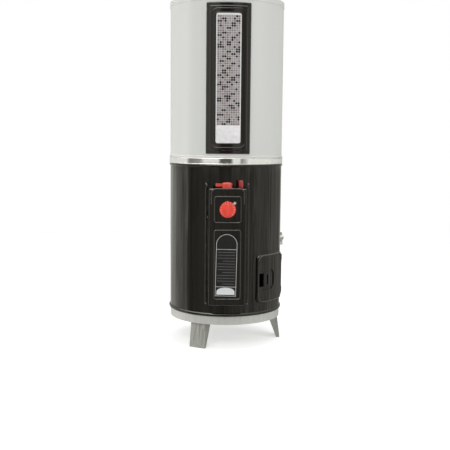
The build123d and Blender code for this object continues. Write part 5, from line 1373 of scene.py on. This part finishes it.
@dataclass
class DrainValve(Assembly):
    """The drain valve low on the side."""

    azimuth: float = 115.0
    spout_circle: float = 280.0
    spout: Point = (10.0, 13.0, 1.7)
    spout_level: float = 0.6
    nut: Point = (17.0, 6.5, 3.6)
    nut_level: float = -6.0
    screw: Head = Head(3.2, 1.8, Drive.CROSS)

    def build(self) -> None:
        """Adds the spout's thread, the packing nut and the handle's screw."""
        low, high = self.box("drain_valve_body")
        a = math.radians(self.azimuth)
        x, y = self.spout_circle * math.sin(a), -self.spout_circle * math.cos(a)
        form = Form().thread(upright(x, y, low.z + self.spout_level), *self.spout)
        form.nut(upright(x, y, high.z + self.nut_level), *self.nut)
        self.fit(form, "drain_thread_and_nut", Paint.NICKEL, "nickel_fitting")
        top = self.box("drain_handle")[1].z
        self.fasten(self.screw, [upright(x, y, top)], "drain_handle_screw", Paint.ZINC, "zinc_hardware",
                    ("drain_handle_recess_shade", "zinc_hardware"), "drain_handle")


# The studio


@dataclass(frozen=True)
class Lamp:
    """A soft panel lamp; places and sizes are in metres, the power is in watts."""

    name: str
    at: Point
    aim: Point
    size: Spot
    power: float
    mirrored: bool = True

    def hang(self) -> None:
        """Adds the lamp to the scene."""
        data = bpy.data.lights.new(self.name, "AREA")
        data.shape = "RECTANGLE"
        data.size, data.size_y = self.size
        data.energy = self.power
        lamp = stand(self.name, data)
        lamp.location = self.at
        lamp.visible_glossy = self.mirrored
        lamp.rotation_euler = (Vector(self.aim) - Vector(self.at)).to_track_quat("-Z", "Y").to_euler()


@dataclass
class Studio:
    """A plain pale floor, soft lights and the camera."""

    focal: float = 60.5
    shift: Spot = (-0.0008, 0.0009)
    camera_at: Point = (-97.6, -3289.0, 849.6)
    pitch: float = 6.238
    roll: float = 0.519
    sensor: float = 36.0
    floor_radius: float = 4.5
    floor_level: float = -0.0004
    floor_fade: Spot = (0.4, 0.9)
    floor_grey: float = 0.86
    floor_glow: float = 0.5
    room: float = 0.5
    warmth: Colour = (1.0, 0.995, 0.91)
    low_room: Outline = (
        (-180, 0.9), (-90, 0.9), (-80, 0.2), (-60, 0.3), (0, 0.3), (45, 0.6), (100, 0.6), (150, 0.2), (180, 0.9))
    high_room: Outline = (
        (-180, 0.7), (-88, 0.8), (-80, 0.2), (-55, 0.3), (-45, 0.8), (-17, 0.8), (-12, 0.1), (8, 0.1), (14, 0.8),
        (25, 0.8), (30, 0.2), (45, 0.8), (90, 0.8), (180, 0.5))
    overhead: Outline = ((-180, 1.5), (-130, 3.0), (-70, 6.0), (0, 6.0), (40, 2.6), (90, 1.6), (180, 1.5))
    high_from: Spot = (-0.036, -0.024)
    overhead_from: Spot = (0.45, 0.6)
    clutter_scale: float = 55.0
    clutter: tuple[float, ...] = (0.55, 1.45, 0.36, 0.64)
    lamps: tuple[Lamp, ...] = (
        Lamp("left_panel", (-2.9, -0.2, 1.0), (0.0, 0.0, 0.9), (0.6, 2.4), 23.0, False),
        Lamp("front_panel", (-1.6, -3.4, 3.4), (0.0, 0.0, 0.7), (2.2, 1.6), 42.0),
        Lamp("top_panel", (0.3, 0.4, 4.2), (0.0, 0.0, 0.6), (2.4, 2.4), 34.0),
        Lamp("right_panel", (3.0, -1.6, 1.7), (0.0, 0.0, 0.8), (1.2, 2.0), 27.0, False))

    def build(self) -> None:
        """Sets up the room, the floor, the lamps and the camera."""
        bpy.context.scene.view_settings.view_transform = "Standard"
        self.make_room()
        self.make_floor()
        for lamp in self.lamps:
            lamp.hang()
        self.make_camera()

    def seen(self, bench: Bench) -> Socket:
        """Gives 1 for rays from the camera and for those that gloss and glass send on.

        Args:
            bench: Takes the nodes.

        Returns:
            A value socket.
        """
        rays = bench.put("LightPath").outputs
        either = bench.reckon("MAXIMUM", rays["Is Camera Ray"], rays["Is Glossy Ray"])
        return bench.reckon("MAXIMUM", either, rays["Is Transmission Ray"])

    def ring(self, bench: Bench, angle: Socket, stops: Outline) -> Socket:
        """Lays bright and dark uprights round the room, from azimuths in degrees and their levels."""
        return bench.tint(angle, [(0.5 + azimuth / 360.0, tuple(level * part for part in self.warmth))
                                  for azimuth, level in stops])

    def make_room(self) -> None:
        """Makes the pale room: white where it is seen, dimmer as a light, with what stands in it for gloss."""
        world = bpy.data.worlds.new("pale_room")
        bpy.context.scene.world = world
        bench = Bench(world)
        where = bench.put("TexCoord").outputs["Generated"]
        turned = bench.put("Mapping", {"Rotation": (0.0, 0.0, math.radians(90.0)), "Vector": where})
        angle = bench.put("TexGradient", {"Vector": turned.outputs["Vector"]}, gradient_type="RADIAL").outputs["Fac"]
        height = bench.put("SeparateXYZ", {"Vector": where}).outputs["Z"]
        noise = bench.put("TexNoise", noise_dimensions="1D",
                          inputs={"Scale": self.clutter_scale, "Detail": 3.0, "W": angle}).outputs["Fac"]
        shelves = {"Vector": self.ring(bench, angle, self.low_room), "Scale": bench.span(noise, *self.clutter)}
        room = bench.put("VectorMath", shelves, operation="SCALE").outputs["Vector"]
        for stops, edge in ((self.high_room, self.high_from), (self.overhead, self.overhead_from)):
            room = bench.blend(bench.span(height, 0.0, 1.0, *edge), room, self.ring(bench, angle, stops))
        gloss = bench.blend(bench.put("LightPath").outputs["Is Glossy Ray"], 1.0, room)
        light = bench.put("Background", {"Color": bench.blend(self.seen(bench), self.room, gloss)})
        bench.put("OutputWorld", {"Surface": light.outputs["Background"]})

    def make_floor(self) -> None:
        """Makes the floor: a wide disc that fades out into the room and is clear to gloss."""
        mesh = bpy.data.meshes.new("studio_floor")
        work = bmesh.new()
        bmesh.ops.create_circle(work, cap_ends=True, segments=96, radius=self.floor_radius)
        work.to_mesh(mesh)
        work.free()
        floor = stand("studio_floor", mesh)
        floor.location.z = self.floor_level
        bench = Bench(bpy.data.materials.new("pale_floor"))
        matt = bench.put("BsdfDiffuse", {"Color": (self.floor_grey, self.floor_grey, self.floor_grey, 1.0)})
        glow = bench.put("Emission", {"Strength": bench.reckon("MULTIPLY", self.seen(bench), self.floor_glow)})
        both = bench.put("AddShader", {0: matt.outputs["BSDF"], 1: glow.outputs["Emission"]})
        where = bench.put("TexCoord").outputs["Object"]
        distance = bench.put("VectorMath", {0: where}, operation="LENGTH").outputs["Value"]
        fade = bench.span(distance, 0.0, 1.0, *(self.floor_radius * share for share in self.floor_fade))
        clear = bench.reckon("MAXIMUM", fade, bench.put("LightPath").outputs["Is Glossy Ray"])
        shaders = {"Fac": clear, 1: both.outputs["Shader"], 2: bench.put("BsdfTransparent").outputs["BSDF"]}
        bench.put("OutputMaterial", {"Surface": bench.put("MixShader", shaders).outputs["Shader"]})
        mesh.materials.append(bench.holder)

    def make_camera(self) -> None:
        """Sets the camera where the photograph was taken from."""
        data = bpy.data.cameras.new("photo_camera")
        data.lens, data.sensor_width = self.focal, self.sensor
        data.shift_x, data.shift_y = self.shift
        camera = stand("photo_camera", data)
        eye = Vector(self.camera_at) * MM
        level = Vector((-eye.x, -eye.y, 0.0)).normalized()
        pitch, roll = math.radians(self.pitch), math.radians(self.roll)
        ahead = level * math.cos(pitch) - Vector((0, 0, 1)) * math.sin(pitch)
        side = ahead.cross(Vector((0, 0, 1))).normalized()
        up = side.cross(ahead)
        right = side * math.cos(roll) + up * math.sin(roll)
        top = up * math.cos(roll) - side * math.sin(roll)
        place = Matrix((right, top, -ahead)).transposed().to_4x4()
        place.translation = eye
        camera.matrix_world = place
        bpy.context.scene.camera = camera


def main() -> None:
    """Builds every sub-assembly in order."""
    logging.basicConfig(level=logging.INFO, format="%(name)s: %(message)s")
    frame = Frame()
    frame.load()
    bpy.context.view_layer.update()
    Studio().build()
    for kind in (Chamber, GasTrain, Stand, Casings, ControlCover, Controls, FireDoor, DecorStrip, Crown, DrainValve):
        kind(frame).build()
        LOG.info("built %s", kind.__name__)


if __name__ == "__main__":
    main()
